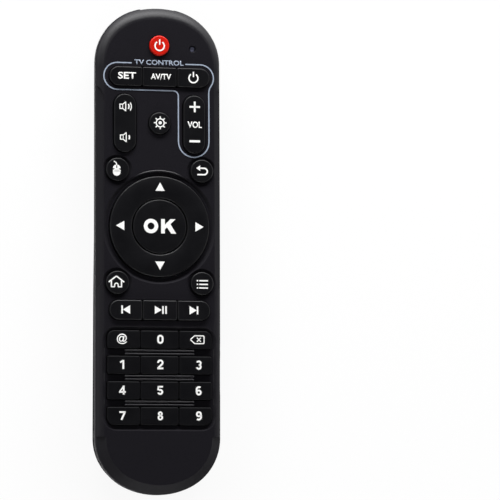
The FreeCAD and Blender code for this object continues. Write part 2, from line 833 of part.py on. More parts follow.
def door_plan(grow, relief=0.0):
    low = door_bottom_corner + grow - relief
    high = door_top_corner + grow
    return rounded_block(-door_half - grow, door_tail - grow, door_half + grow, door_head + grow,
                         [low, low, high, high], -beyond, joint_height)


hinge_y = door_tail + door_thickness / 2
hinge_z = back_height(hinge_y) + door_sink + door_thickness / 2
door_inner = door_sink + door_thickness


def hinge_rod(radius, half_length):
    return Part.makeCylinder(radius, 2 * half_length, Vector(-half_length, hinge_y, hinge_z), Vector(1, 0, 0))


hook_outer = hook_inner + hook_thickness
hook_sweep = door_swing + hook_hold
wedge_reach = hook_outer / math.cos(math.radians(hook_sweep / 4)) + clear_height
hook = hinge_rod(hook_outer, hook_width / 2).cut(hinge_rod(hook_inner, hook_width))
hook_zone = []
for turn in range(2):
    start = hook_start + turn * hook_sweep / 2
    corner = [Vector(-hook_width, hinge_y, hinge_z)]
    for k in range(2):
        angle = math.radians(start + k * hook_sweep / 2)
        corner.append(Vector(-hook_width, hinge_y + wedge_reach * math.cos(angle),
                             hinge_z + wedge_reach * math.sin(angle)))
    wedge = Part.Wire([line(corner[k], corner[(k + 1) % 3]) for k in range(3)])
    hook_zone.append(Part.Face(wedge).extrude(Vector(2 * hook_width, 0, 0)))
hook = hook.common(hook_zone[0].fuse(hook_zone[1]))
door_plate = door_plan(0.0).common(raised(rear_form, door_sink)).cut(raised(rear_form, door_inner))
nodes["battery_door"] = door_plate.fuse(hook).removeSplitter()
hook_room = hinge_rod(hook_outer + slit, hook_width / 2 + slit).cut(hinge_rod(hook_inner - slit, hook_width))
hook_room = hook_room.common(box(-beyond, tail_y, hinge_z + hook_skin, beyond, head_y, beyond))
relief_radius = math.hypot(door_thickness / 2, door_thickness / 2) + door_gap

# Latch at the head end of the door, a bar on a bent leg
slot_head = door_head + latch_slot_length
bar_y = slot_head - latch_gap - latch_bar_length / 2
bar_z = back_height(bar_y) + latch_sink
root_head = door_head - latch_gap
root_tail = root_head - latch_thickness
root_bottom = back_height(door_head) + door_inner + fit_gap
latch_top = back_height(bar_y) + latch_depth
latch_roof = latch_depth + latch_slot_length * math.sin(math.radians(latch_swing)) + 2 * latch_gap
leg_tail = bar_y - latch_bar_length / 2
leg_half = latch_leg_width / 2
latch = box(-latch_bar_width / 2, leg_tail, bar_z, latch_bar_width / 2, bar_y + latch_bar_length / 2,
            bar_z + latch_thickness)
latch_legs = [box(-leg_half, leg_tail, bar_z, leg_half, leg_tail + latch_thickness, latch_top),
              box(-leg_half, root_tail, latch_top - latch_thickness,
                  leg_half, leg_tail + latch_thickness, latch_top),
              box(-leg_half, root_tail, root_bottom, leg_half, root_head, latch_top)]
nodes["door_latch"] = latch.fuse(latch_legs).removeSplitter()
latch_room = box(-latch_slot_width / 2, root_tail - latch_root_room, -beyond,
                 latch_slot_width / 2, slot_head, joint_height).cut(raised(rear_form, latch_roof))
latch_block = box(-latch_slot_width / 2 - latch_block_margin, bay_head, -beyond,
                  latch_slot_width / 2 + latch_block_margin, slot_head + thumb_radius, joint_height)
thumb_y = slot_head - latch_block_margin
thumb_ball_radius = (thumb_radius ** 2 + thumb_depth ** 2) / (2 * thumb_depth)
thumb_dish = Part.makeSphere(thumb_ball_radius, Vector(0, thumb_y, back_height(thumb_y) + thumb_depth
                                                       - thumb_ball_radius))

# The rear cover
rear_inner = tapered_block(case_wall, rear_taper + inner_slope).common(over_back(case_wall))
lip = prism(outline(case_wall - lip_thickness, joint_height - fit_gap), lip_height + fit_gap)
lip = lip.cut(prism(outline(case_wall, joint_height - fit_gap), lip_height + fit_gap))
posts = []
for from_tip in post_places_from_tip:
    for side in (-1, 1):
        x = side * (half_width - post_side_margin)
        foot = disc(x, head_y - from_tip, post_radius, -beyond, joint_height).common(rear_form)
        head = disc(x, head_y - from_tip, post_radius, joint_height - fit_gap, board_underside)
        posts.append(foot.fuse(head))
ledge_base = door_inner + fit_gap
door_frame = door_plan(ledge_margin).common(raised(rear_form, ledge_base))
door_frame = door_frame.cut(raised(rear_form, ledge_base + ledge))
latch_frame = latch_block.common(rear_form).cut(raised(rear_form, latch_roof + ledge))
bay_upper = box(-bay_half - bay_wall, bay_tail - bay_wall, joint_height - fit_gap,
                bay_half + bay_wall, bay_head + bay_wall, beyond)
bay_frame = tub.common(rear_form.fuse(bay_upper)).common(below_board)
rear_cover = rear_form.cut(rear_inner).fuse([lip, door_frame, latch_frame, bay_frame] + posts)
door_room = door_plan(door_gap, door_corner_relief).cut(raised(rear_form, ledge_base))
nodes["rear_cover"] = rear_cover.cut([bay_room, door_room, hook_room, hinge_rod(relief_radius, hinge_relief),
                                      latch_room, thumb_dish] + tab_slots + window_cuts)

# Batteries, contacts and springs, drawn level and then tipped with the bay
spring_y = bay_tail + contact_thickness
for name, side in (("battery_left", -1), ("battery_right", 1)):
    x = side * cell_spacing / 2
    can_length = cell_length - cell_nub_length
    along = Vector(0, 1, 0) if side < 0 else Vector(0, -1, 0)
    start = spring_y + spring_length if side < 0 else bay_head - contact_thickness - spring_length
    foot = Vector(x, start, cell_height)
    can = Part.makeCylinder(cell_diameter / 2, can_length, foot, along)
    can = can.makeFillet(key_edge, [e for e in can.Edges if len(e.Vertexes) == 1])
    nub = Part.makeCylinder(cell_nub_radius, cell_length - key_edge, foot + along * key_edge, along)
    nodes[name] = along_table(can.fuse(nub))
    spring_foot = foot - along * spring_length
    spring = Part.makeCone(spring_base_radius, spring_tip_radius, spring_length, spring_foot, along)
    nodes["bridge_spring" if side < 0 else "negative_spring"] = along_table(spring)

contact_top = contact_bottom + contact_height
bridge_half = cell_spacing / 2 + contact_width / 2
nodes["bridge_contact"] = along_table(box(-bridge_half, bay_tail, contact_bottom, bridge_half,
                                          bay_tail + contact_thickness, contact_top))
for name, side in (("positive_contact", -1), ("negative_contact", 1)):
    x = side * cell_spacing / 2
    y0 = bay_head - contact_thickness
    plate = box(x - contact_width / 2, y0, contact_bottom, x + contact_width / 2, bay_head, contact_top)
    tab = box(x - tab_width / 2, y0, contact_top - fit_gap, x + tab_width / 2, bay_head, beyond / 2)
    strip = along_table(plate.fuse(tab).removeSplitter())
    nodes[name] = strip.cut(box(-beyond, tail_y, board_underside, beyond, head_y, beyond))

# Lays the remote on the table, with the middle of its underside at the origin


def laid_down(shape):
    return shape.rotated(Vector(0, bulge_y, bulge_height), Vector(1, 0, 0), -tip_angle)


for name, solid in nodes.items():
    nodes[name] = laid_down(solid)
whole = nodes["front_cover"].fuse(nodes["rear_cover"]).optimalBoundingBox(False, False)
shift = Vector(-(whole.XMin + whole.XMax) / 2, -(whole.YMin + whole.YMax) / 2, -bulge_height)


def placed(x, y, z):
    """A point of the board frame after the remote is laid down."""
    return laid_down(Part.Vertex(x, y, z)).translated(shift).Point


for name, solid in sorted(nodes.items()):
    final = solid.translated(shift)
    final.exportStep("parts/" + name + ".step")
    bounds = final.optimalBoundingBox(False, False)
    sizes = [round(v, 1) for v in (bounds.XLength, bounds.YLength, bounds.ZLength)]
    print(name, "valid" if final.isValid() else "NOT VALID", len(final.Solids), sizes, round(final.Volume, 1))
print("tip angle", round(tip_angle, 4), "lowest", round(whole.ZMin, 3))
print("rocker axes", placed(rocker_x, rocker_y, rocker_axis_height))
print("ring centre", placed(0.0, ring_y, (stem_bottom + ring_bottom) / 2))
print("door hinge", placed(0.0, hinge_y, hinge_z))
print("latch hinge", placed(0.0, (root_tail + root_head) / 2, root_bottom))
print("rest strip", placed((door_half + half_width - rear_taper - back_round) / 2, bulge_y, bulge_height))
print("infrared window", placed(0.0, window_front, window_bottom + window_height / 2))
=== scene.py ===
# %% [markdown]
# # A hand-held remote control for a television box
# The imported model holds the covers, the keys and everything inside at their real sizes.
# This script gives them their plastics, rubbers and metals, prints the legends on the keys,
# winds the battery springs, and lights and frames the remote. It is read from top to bottom.

# %% The fixed frame
import json
import math
import bmesh
import bpy
from mathutils import Matrix, Vector


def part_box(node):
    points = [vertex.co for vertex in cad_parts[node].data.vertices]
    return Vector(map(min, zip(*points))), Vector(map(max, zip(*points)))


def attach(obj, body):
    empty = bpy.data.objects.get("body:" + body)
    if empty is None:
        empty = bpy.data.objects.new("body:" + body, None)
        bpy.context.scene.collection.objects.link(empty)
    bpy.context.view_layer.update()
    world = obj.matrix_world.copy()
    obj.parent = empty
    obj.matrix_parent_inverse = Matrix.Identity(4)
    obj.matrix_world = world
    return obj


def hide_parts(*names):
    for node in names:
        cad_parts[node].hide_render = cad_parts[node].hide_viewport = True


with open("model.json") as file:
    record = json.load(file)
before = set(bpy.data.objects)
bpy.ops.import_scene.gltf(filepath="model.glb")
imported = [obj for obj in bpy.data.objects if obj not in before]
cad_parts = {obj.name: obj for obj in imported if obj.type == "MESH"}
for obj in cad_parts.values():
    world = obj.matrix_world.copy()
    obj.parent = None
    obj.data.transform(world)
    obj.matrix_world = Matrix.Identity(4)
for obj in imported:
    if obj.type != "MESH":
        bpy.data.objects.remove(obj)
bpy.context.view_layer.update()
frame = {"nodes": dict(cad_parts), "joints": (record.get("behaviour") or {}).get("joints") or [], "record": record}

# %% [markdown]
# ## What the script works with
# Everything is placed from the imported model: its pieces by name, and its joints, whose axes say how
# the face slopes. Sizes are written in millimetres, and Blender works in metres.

mm = 0.001
nodes = frame["nodes"]
joints = {joint["name"]: joint for joint in frame["joints"]}

# %% [markdown]
# ## The face, a tipped sheet to draw on
# The bulge over the batteries lifts the tail, so the face slopes down a little towards the head.
# Every key is pressed square to the face, so the axis of the OK key's joint gives the slope.
# Legends are drawn in millimetres on the face's own axes and are then put in place by one matrix.

# %% Axes of the face
face_up = -Vector(joints["ok_press"]["axis"])
face_along = Vector((0.0, face_up.z, -face_up.y))
face_axes = Matrix((Vector((1.0, 0.0, 0.0)), face_along, face_up)).transposed()
print("the face slopes", round(math.degrees(face_axes.to_euler().x), 2), "degrees")


def face_span(node):
    """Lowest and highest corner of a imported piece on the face's axes, in millimetres."""
    points = [face_axes.inverted() @ v.co / mm for v in nodes[node].data.vertices]
    low = Vector([min(p[k] for p in points) for k in range(3)])
    high = Vector([max(p[k] for p in points) for k in range(3)])
    return low, high


cover_low, cover_high = face_span("front_cover")
face_middle = (cover_low.y + cover_high.y) / 2
face_top = cover_high.z
print("the front cover is", round(cover_high.y - cover_low.y, 1), "mm long")


def middle_of(node):
    """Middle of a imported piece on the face, measured from the middle of the front cover."""
    low, high = face_span(node)
    return (low.x + high.x) / 2, (low.y + high.y) / 2 - face_middle


# %% [markdown]
# ## Drawing with a flat nib
# Key legends are pad prints: a thin even layer of ink with crisp edges. A real artwork is made of
# strokes of one width, so each stroke here starts as a plane as long as its first straight run.
# The edge at its end is then extruded for a straight run and spun for a bend, as a pen would go.
# Curves with a bevel would do it too, but they give round tubes and not flat ink.

# %% Selecting, editing and baking


def deselect():
    """Clears the selection, so that the next operator acts on nothing old."""
    bpy.ops.object.select_all(action="DESELECT")


def active(piece):
    """Makes one object the only selected and active one."""
    deselect()
    piece.select_set(True)
    bpy.context.view_layer.objects.active = piece


def edit_all():
    """Opens the active piece in edit mode with all of it selected."""
    bpy.ops.object.mode_set(mode="EDIT")
    bpy.ops.mesh.select_all(action="SELECT")


def close_edit():
    """Goes back to object mode."""
    bpy.ops.object.mode_set(mode="OBJECT")


def bake_place(piece):
    """Moves a piece's place, turn and scale into its mesh."""
    active(piece)
    bpy.ops.object.transform_apply(location=True, rotation=True, scale=True)


# %% One stroke of the nib
bend_step = math.radians(12)
weld_gap = 0.01


def select_end(piece, point):
    """In edit mode, leaves only the edge whose middle is at a point selected."""
    mesh = bmesh.from_edit_mesh(piece.data)
    nearest = min(mesh.edges, key=lambda e: ((e.verts[0].co + e.verts[1].co) / 2 - point).length)
    for part in list(mesh.faces) + list(mesh.edges) + list(mesh.verts):
        part.select = False
    nearest.select = True
    for vertex in nearest.verts:
        vertex.select = True
    mesh.select_flush_mode()
    bmesh.update_edit_mesh(piece.data)


def stroke(width, x, y, heading, runs):
    """One stroke from a point. A number is a straight run, a pair a bend: radius, degrees to the left."""
    angle = math.radians(heading)
    ahead = Vector((math.cos(angle), math.sin(angle), 0.0))
    first = runs[0] * mm
    tip = Vector((x * mm, y * mm, 0.0)) + ahead * first
    deselect()
    bpy.ops.mesh.primitive_plane_add(size=1, location=tip - ahead * first / 2, rotation=(0, 0, angle))
    piece = bpy.context.object
    piece.scale = (first, width * mm, 1.0)
    bake_place(piece)
    bpy.ops.object.mode_set(mode="EDIT")
    bpy.ops.mesh.select_mode(type="EDGE")
    for run in runs[1:]:
        select_end(piece, tip)
        if isinstance(run, tuple):
            radius, turn = run[0] * mm, math.radians(run[1])
            side = Vector((-ahead.y, ahead.x, 0.0)) * math.copysign(1, turn)
            centre = tip + side * radius
            steps = max(2, round(abs(turn) / bend_step))
            bpy.ops.mesh.spin(steps=steps, angle=-turn, center=centre, axis=(0, 0, 1))
            swing = Matrix.Rotation(turn, 3, "Z")
            tip = centre + swing @ (tip - centre)
            ahead = swing @ ahead
        else:
            bpy.ops.mesh.extrude_region_move(TRANSFORM_OT_translate={"value": ahead * run * mm})
            tip = tip + ahead * run * mm
    bpy.ops.mesh.select_all(action="SELECT")
    bpy.ops.mesh.remove_doubles(threshold=weld_gap * mm)
    close_edit()
    return piece


# %% [markdown]
# ## Filled signs, rings and words
# Arrows are solid shapes: a plane merged to one point, drawn out from corner to corner and filled.
# Dots are filled circles, and a ring is a circle of edges drawn inwards. Words are Blender's own
# lettering, made a mesh and stretched: its face is so near the real print that strokes gain little.

# %% Shapes, dots and rings
dot_corners = 32


def shape(corners):
    """A filled straight-sided shape: one point, drawn out from corner to corner and filled."""
    points = [Vector((x, y, 0.0)) * mm for x, y in corners]
    deselect()
    bpy.ops.mesh.primitive_plane_add(size=mm, location=points[0])
    piece = bpy.context.object
    bake_place(piece)
    edit_all()
    bpy.ops.mesh.select_mode(type="VERT")
    bpy.ops.mesh.merge(type="CENTER")
    for start, end in zip(points, points[1:]):
        bpy.ops.mesh.extrude_region_move(TRANSFORM_OT_translate={"value": end - start})
    bpy.ops.mesh.select_all(action="SELECT")
    bpy.ops.mesh.edge_face_add()
    close_edit()
    return piece


def dot(x, y, radius):
    """A filled round spot."""
    deselect()
    bpy.ops.mesh.primitive_circle_add(vertices=dot_corners, radius=radius * mm, fill_type="NGON",
                                      location=(x * mm, y * mm, 0.0))
    piece = bpy.context.object
    bake_place(piece)
    return piece


def ring(x, y, radius, width):
    """A closed ring: a circle of edges, extruded and drawn in to its inner radius."""
    inner, outer = radius - width / 2, radius + width / 2
    deselect()
    bpy.ops.mesh.primitive_circle_add(vertices=round(math.radians(360) / bend_step), radius=outer * mm,
                                      location=(x * mm, y * mm, 0.0))
    piece = bpy.context.object
    bake_place(piece)
    edit_all()
    bpy.ops.mesh.select_mode(type="EDGE")
    bpy.ops.mesh.extrude_region_move()
    bpy.ops.transform.resize(value=(inner / outer, inner / outer, 1.0), center_override=(x * mm, y * mm, 0.0))
    close_edit()
    return piece


def arc(x, y, radius, width, start, sweep):
    """A round stroke about a point, which starts at an angle and runs to the left."""
    angle = math.radians(start)
    stub = 0.02
    return stroke(width, x + radius * math.cos(angle), y + radius * math.sin(angle), start + 90.0,
                  [stub, (radius, sweep)])


# %% Words, and strokes joined to a legend
letter_gap = 0.004
sliver = 0.002


def words(text, width, height, weight):
    """Lettering stretched to a width and height, made bolder by a share of the letter size."""
    deselect()
    bpy.ops.object.text_add()
    piece = bpy.context.object
    piece.data.body = text
    piece.data.offset = weight
    piece.data.resolution_u = 4
    bpy.ops.object.convert(target="MESH")
    piece = bpy.context.object
    xs = [v.co.x for v in piece.data.vertices]
    ys = [v.co.y for v in piece.data.vertices]
    tall = height * mm / (max(ys) - min(ys))
    wide = width * mm / (max(xs) - min(xs))
    piece.scale = (wide, tall, 1.0)
    piece.location = (-wide * (max(xs) + min(xs)) / 2, -tall * (max(ys) + min(ys)) / 2, 0.0)
    bake_place(piece)
    edit_all()
    bpy.ops.mesh.remove_doubles(threshold=letter_gap * mm)
    bpy.ops.mesh.dissolve_degenerate(threshold=sliver * mm)
    close_edit()
    return piece


def joined(name, parts):
    """Joins the strokes of one legend into one piece."""
    deselect()
    for part in parts:
        part.select_set(True)
    bpy.context.view_layer.objects.active = parts[0]
    if len(parts) > 1:
        bpy.ops.object.join()
    piece = bpy.context.object
    piece.name = name
    piece.data.name = name
    return piece


# %% [markdown]
# ## Colours and surfaces
# Colours are written as they look on a screen, and Blender works with linear light, so one function
# turns a hex code into linear values. Another adds a node with its settings and links, and every
# material below is built with it, on the coordinates of the object itself and in real sizes.

# %% Colour and node helpers


def tone(code):
    """A hex colour as linear red, green, blue and full opacity."""
    parts = [int(code[k:k + 2], 16) / 255 for k in (1, 3, 5)]
    return [c / 12.92 if c <= 0.04045 else ((c + 0.055) / 1.055) ** 2.4 for c in parts] + [1.0]


def add(material, kind, inputs=None, stops=(), **settings):
    """Adds a node. A socket among the inputs is linked, another value is set; stops fill a ramp."""
    node = material.node_tree.nodes.new(kind)
    for key, value in settings.items():
        setattr(node, key, value)
    for key, value in (inputs or {}).items():
        if isinstance(value, bpy.types.NodeSocket):
            material.node_tree.links.new(value, node.inputs[key])
        else:
            node.inputs[key].default_value = value
    if stops:
        elements = node.color_ramp.elements
        elements.remove(elements[-1])
        elements[0].position = stops[0][0]
        elements[0].color = tone(stops[0][1])
        for place, code in stops[1:]:
            elements.new(place).color = tone(code)
    return node


def surface(name):
    """A new material with an empty tree, and the coordinates of the object it is on."""
    material = bpy.data.materials.new(name)
    material.use_nodes = True
    material.node_tree.nodes.clear()
    place = add(material, "ShaderNodeTexCoord").outputs["Object"]
    return material, place


def give(material, names):
    """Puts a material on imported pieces, in place of their plain one."""
    for name in names:
        nodes[name].data.materials.clear()
        nodes[name].data.materials.append(material)


# %% [markdown]
# ## Edges polished by handling
# Black plastic and rubber keep their matt grain on flat faces and upright walls, and fingers polish
# the rounded edges and the back, which lies in the palm. The way a surface faces, measured against
# the face of the remote, says which it is, and one colour ramp turns that into a share of shine.

# %% Shine by the way a surface faces
shine_bands = [(0.0, "#ffffff"), (0.14, "#ffffff"), (0.36, "#000000"), (0.66, "#000000"),
               (0.8, "#ffffff"), (0.982, "#ffffff"), (0.998, "#000000")]


def worn_edges(material):
    """Zero on flat tops and upright walls, one on rounded edges and on the back."""
    normal = add(material, "ShaderNodeTexCoord").outputs["Normal"]
    facing = add(material, "ShaderNodeVectorMath", {0: normal, 1: face_up}, operation="DOT_PRODUCT")
    turned = add(material, "ShaderNodeMapRange", {"Value": facing.outputs["Value"], "From Min": -1.0})
    shine = add(material, "ShaderNodeValToRGB", {"Fac": turned.outputs["Result"]}, shine_bands)
    return shine.outputs["Color"]


# %% [markdown]
# ## Spark-eroded ABS
# The covers and the battery door are injection-moulded black ABS. The mould was eroded by sparks,
# which leaves a fine even grain that scatters highlights and hides finger marks. The real grain is
# about 0.1 mm, too fine for the picture, so it is drawn at 0.3 mm. Handling also wears the plastic in
# soft patches, which a slow noise gives to the roughness. The front is touched on the head's rim and
# on the ribs between the number keys, and shines most there. No finger reaches the sloping walls of
# its sunk fields, so they stay matt. The back lies in the palm and shines all over. The fine lip above
# the direction ring is rubbed brighter, and the door's latch is an even satin grey.

# %% Where hands rub the covers
wall_starts = 0.12
wall_full = 0.35
rim_starts = 68.0
rim_full = 76.0
ribs_tail, ribs_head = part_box("key_8")[1].y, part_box("key_0")[0].y + mm
ribs_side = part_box("key_6")[1].x
print("rubbed ribs reach from", round(ribs_tail / mm, 1), "to", round(ribs_head / mm, 1), "mm")


def worn_gloss(material, place, shine, matt, held):
    """Reflection of ABS: shine where hands rub it and matt elsewhere; held is the wear of open faces."""
    normal = add(material, "ShaderNodeTexCoord").outputs["Normal"]
    slope = add(material, "ShaderNodeVectorMath", {0: normal, 1: face_along}, operation="DOT_PRODUCT")
    open_face = add(material, "ShaderNodeMapRange", {
        "Value": slope.outputs["Value"], "From Min": wall_starts, "From Max": wall_full, "To Min": held,
        "To Max": 0.0})
    spot = add(material, "ShaderNodeSeparateXYZ", {"Vector": place}).outputs
    rim = add(material, "ShaderNodeMapRange", {"Value": spot["Y"], "From Min": rim_starts * mm,
                                               "From Max": rim_full * mm})
    lengthwise = add(material, "ShaderNodeMath", {0: spot["Y"], 1: (ribs_tail + ribs_head) / 2,
                                                  2: (ribs_head - ribs_tail) / 2}, operation="COMPARE")
    across = add(material, "ShaderNodeMath", {0: spot["X"], 1: 0.0, 2: ribs_side}, operation="COMPARE")
    ribs = add(material, "ShaderNodeMath", {0: lengthwise.outputs["Value"], 1: across.outputs["Value"]},
               operation="MULTIPLY")
    body = add(material, "ShaderNodeMath", {0: open_face.outputs["Result"], 1: ribs.outputs["Value"]},
               operation="MAXIMUM")
    reached = add(material, "ShaderNodeMix", {"Factor": rim.outputs["Result"], "A": body.outputs["Value"],
                                              "B": 1.0})
    worn = add(material, "ShaderNodeMath", {0: reached.outputs["Result"], 1: worn_edges(material)},
               operation="MULTIPLY")
    gloss = add(material, "ShaderNodeMapRange", {"Value": worn.outputs["Value"], "To Min": matt,
                                                 "To Max": shine})
    return gloss.outputs["Result"]


# %% ABS of the covers
patch_size = 14.0


def moulded_abs(name, dark, light, rough_low, rough_high, grain=0.3, depth=0.012, shine=0.3, matt=0.0,
                held=1.0):
    """Moulded ABS with spark-eroded grain, slow patches of wear and its reflection from worn_gloss."""
    material, place = surface(name)
    grain_height = add(material, "ShaderNodeTexNoise", {
        "Vector": place, "Scale": 1 / (grain * mm), "Detail": 3.0, "Roughness": 0.6}).outputs["Fac"]
    patches = add(material, "ShaderNodeTexNoise", {"Vector": place,
                                                   "Scale": 1 / (patch_size * mm)}).outputs["Fac"]
    colour = add(material, "ShaderNodeValToRGB", {"Fac": grain_height}, [(0.3, dark), (0.75, light)])
    rough = add(material, "ShaderNodeMapRange", {"Value": patches, "To Min": rough_low,
                                                 "To Max": rough_high})
    relief = add(material, "ShaderNodeBump", {"Height": grain_height, "Distance": depth * mm})
    # A shine that is even all over is set on the shader's own socket.
    gloss = shine if shine == matt else worn_gloss(material, place, shine, matt, held)
    plastic = add(material, "ShaderNodeBsdfPrincipled", {
        "Base Color": colour.outputs["Color"], "Roughness": rough.outputs["Result"], "IOR": 1.53,
        "Specular IOR Level": gloss, "Normal": relief.outputs["Normal"]})
    add(material, "ShaderNodeOutputMaterial", {"Surface": plastic.outputs["BSDF"]})
    return material


# Black without gloss, so that keys and dishes read by their edges.
cover_abs = moulded_abs("spark_eroded_black_abs", "#17161a", "#1d1c20", 0.5, 0.58, matt=0.02, held=0.3)
# The same black with a broad soft sheen, as a case looks where the hand holds it.
palm_abs = moulded_abs("palm_worn_black_abs", "#141318", "#1a191e", 0.46, 0.54)
# A narrow bright line of light.
rubbed_abs = moulded_abs("rubbed_black_abs", "#141318", "#1a191e", 0.34, 0.4, shine=0.45, matt=0.3)
# An even satin grey, almost without grain.
latch_abs = moulded_abs("satin_grey_abs", "#5c5c60", "#666669", 0.38, 0.44, grain=0.5, depth=0.004,
                        shine=0.4, matt=0.4)
give(cover_abs, ["front_cover"])
give(palm_abs, ["rear_cover", "battery_door"])
give(latch_abs, ["door_latch"])
print("covers, door and latch are ABS")

# %% [markdown]
# ## Silicone rubber
# The keys are one compression-moulded silicone mat with a matt lacquer: very dark, with a fine
# orange-peel and a soft shine along their rounded edges. The number pad has sharper edges, which the
# lacquer leaves duller. The power key is the same rubber, coloured red right through. The sheet under
# the keys has no lacquer, and a velvety edge.

# %% Rubber of the keys
peel_size = 0.45
peel_depth = 0.006
cloud_size = 6.0
unworn = 0.02


def silicone(name, dark, light, rough, sheen, shine=0.3):
    """Silicone rubber with a fine orange-peel, which shines along its rounded edges."""
    material, place = surface(name)
    peel = add(material, "ShaderNodeTexNoise", {"Vector": place,
                                                "Scale": 1 / (peel_size * mm)}).outputs["Fac"]
    clouds = add(material, "ShaderNodeTexNoise", {"Vector": place,
                                                  "Scale": 1 / (cloud_size * mm)}).outputs["Fac"]
    colour = add(material, "ShaderNodeValToRGB", {"Fac": clouds}, [(0.3, dark), (0.7, light)])
    satin = add(material, "ShaderNodeMapRange", {"Value": peel, "To Min": rough - 0.04,
                                                 "To Max": rough + 0.04})
    relief = add(material, "ShaderNodeBump", {"Height": peel, "Distance": peel_depth * mm})
    gloss = add(material, "ShaderNodeMapRange", {"Value": worn_edges(material), "To Min": unworn,
                                                 "To Max": shine})
    rubber = add(material, "ShaderNodeBsdfPrincipled", {
        "Base Color": colour.outputs["Color"], "Roughness": satin.outputs["Result"], "IOR": 1.42,
        "Specular IOR Level": gloss.outputs["Result"], "Sheen Weight": sheen, "Sheen Roughness": 0.5,
        "Normal": relief.outputs["Normal"]})
    add(material, "ShaderNodeOutputMaterial", {"Surface": rubber.outputs["BSDF"]})
    return material


black_rubber = [n for n in nodes if n.endswith("_key") or n.startswith("key_")]
black_rubber.remove("power_key")
black_rubber += ["sound_rocker", "volume_rocker", "direction_ring", "ring_stems_up_down"]
pad_rubber = [n for n in black_rubber if n.startswith("key_")]
give(silicone("satin_black_silicone", "#111113", "#151517", 0.42, 0.0, 0.27), black_rubber)
give(silicone("matt_black_silicone", "#0f0f11", "#131315", 0.5, 0.0, 0.08), pad_rubber)
give(silicone("red_silicone", "#b4170d", "#c01e12", 0.42, 0.0), ["power_key"])
give(silicone("grey_silicone_sheet", "#7d7f83", "#8a8c90", 0.6, 0.1), ["keypad_mat"])
print(len(black_rubber) + 2, "rubber pieces")

# %% [markdown]
# ## Clear and smoked plastics
# The window in the head is dyed acrylic: black to the eye, clear to infrared light, and polished.
# The lens of the indicator is smoked plastic, and the lamps are cast in clear bluish epoxy.

# %% Polished plastics


def polished(name, code, rough, ior, transmission=0.0):
    """Polished plastic with a faint haze from wiping, which keeps its reflections from being perfect."""
    material, place = surface(name)
    haze = add(material, "ShaderNodeTexNoise", {"Vector": place, "Scale": 1 / (3.0 * mm)}).outputs["Fac"]
    wiped = add(material, "ShaderNodeMapRange", {"Value": haze, "To Min": rough, "To Max": rough + 0.03})
    clear = add(material, "ShaderNodeBsdfPrincipled", {
        "Base Color": tone(code), "IOR": ior, "Roughness": wiped.outputs["Result"],
        "Transmission Weight": transmission})
    add(material, "ShaderNodeOutputMaterial", {"Surface": clear.outputs["BSDF"]})
    return material


give(polished("dyed_infrared_acrylic", "#0b070d", 0.06, 1.49), ["infrared_window"])
give(polished("smoked_lens_plastic", "#7c7e98", 0.25, 1.5), ["indicator_lens"])
give(polished("clear_lamp_epoxy", "#b9c2dc", 0.05, 1.55, 0.8), ["infrared_lamp", "indicator_lamp"])
print("window, lens and lamps are polished")

# %% [markdown]
# ## Inside: board, parts and contacts
# The board is paper-phenolic laminate under green lacquer, with copper tracks that show as lighter
# raised lines. Parts are moulded epoxy, dipped ceramic, printed carbon and a sleeved can. Contacts
# and springs are nickel-plated steel, with the fine lines that drawing and rolling leave. The real
# lines are too fine for the picture, so they are drawn about 0.08 mm apart.

# %% Board


def lacquered_board(name, dark, light, track):
    """Glossy green lacquer over raised, lighter tracks."""
    material, place = surface(name)
    tracks = add(material, "ShaderNodeTexBrick", {
        "Vector": place, "Scale": 1 / (9.0 * mm), "Mortar Size": 0.045, "Mortar Smooth": 0.3,
        "Brick Width": 0.62, "Row Height": 0.31}, offset=0.35).outputs["Fac"]
    cloud = add(material, "ShaderNodeTexNoise", {"Vector": place, "Scale": 1 / (5.0 * mm)}).outputs["Fac"]
    lacquer = add(material, "ShaderNodeValToRGB", {"Fac": cloud}, [(0.3, dark), (0.7, light)])
    colour = add(material, "ShaderNodeMix", {"Factor": tracks, "A": lacquer.outputs["Color"],
                                             "B": tone(track)}, data_type="RGBA")
    relief = add(material, "ShaderNodeBump", {"Height": tracks, "Distance": 0.035 * mm})
    board = add(material, "ShaderNodeBsdfPrincipled", {
        "Base Color": colour.outputs["Result"], "Roughness": 0.32, "IOR": 1.5,
        "Normal": relief.outputs["Normal"]})
    add(material, "ShaderNodeOutputMaterial", {"Surface": board.outputs["BSDF"]})
    return material


give(lacquered_board("lacquered_phenolic_board", "#0d3a1e", "#12482a", "#2c7a46"), ["circuit_board"])
print("board lacquered")

# %% Parts on the board


def dull_part(name, dark, light, rough, size):
    """A moulded, dipped or printed surface: even in colour, with soft clouds of one size."""
    material, place = surface(name)
    cloud = add(material, "ShaderNodeTexNoise", {"Vector": place, "Scale": 1 / (size * mm),
                                                 "Detail": 3.0}).outputs["Fac"]
    colour = add(material, "ShaderNodeValToRGB", {"Fac": cloud}, [(0.3, dark), (0.7, light)])
    relief = add(material, "ShaderNodeBump", {"Height": cloud, "Distance": 0.01 * mm})
    part = add(material, "ShaderNodeBsdfPrincipled", {
        "Base Color": colour.outputs["Color"], "Roughness": rough, "IOR": 1.5,
        "Normal": relief.outputs["Normal"]})
    add(material, "ShaderNodeOutputMaterial", {"Surface": part.outputs["BSDF"]})
    return material


give(dull_part("printed_carbon_ink", "#101011", "#19191a", 0.7, 0.3), ["contact_pads"])
give(dull_part("moulded_chip_epoxy", "#17171a", "#202024", 0.55, 0.6),
     ["control_chip", "transistor", "resistors"])
give(dull_part("dipped_ceramic", "#a8571c", "#c06a28", 0.35, 1.0), ["resonator"])
give(dull_part("printed_capacitor_sleeve", "#14203c", "#1b2a4c", 0.3, 2.0), ["capacitor"])
print("parts on the board finished")

# %% Contacts


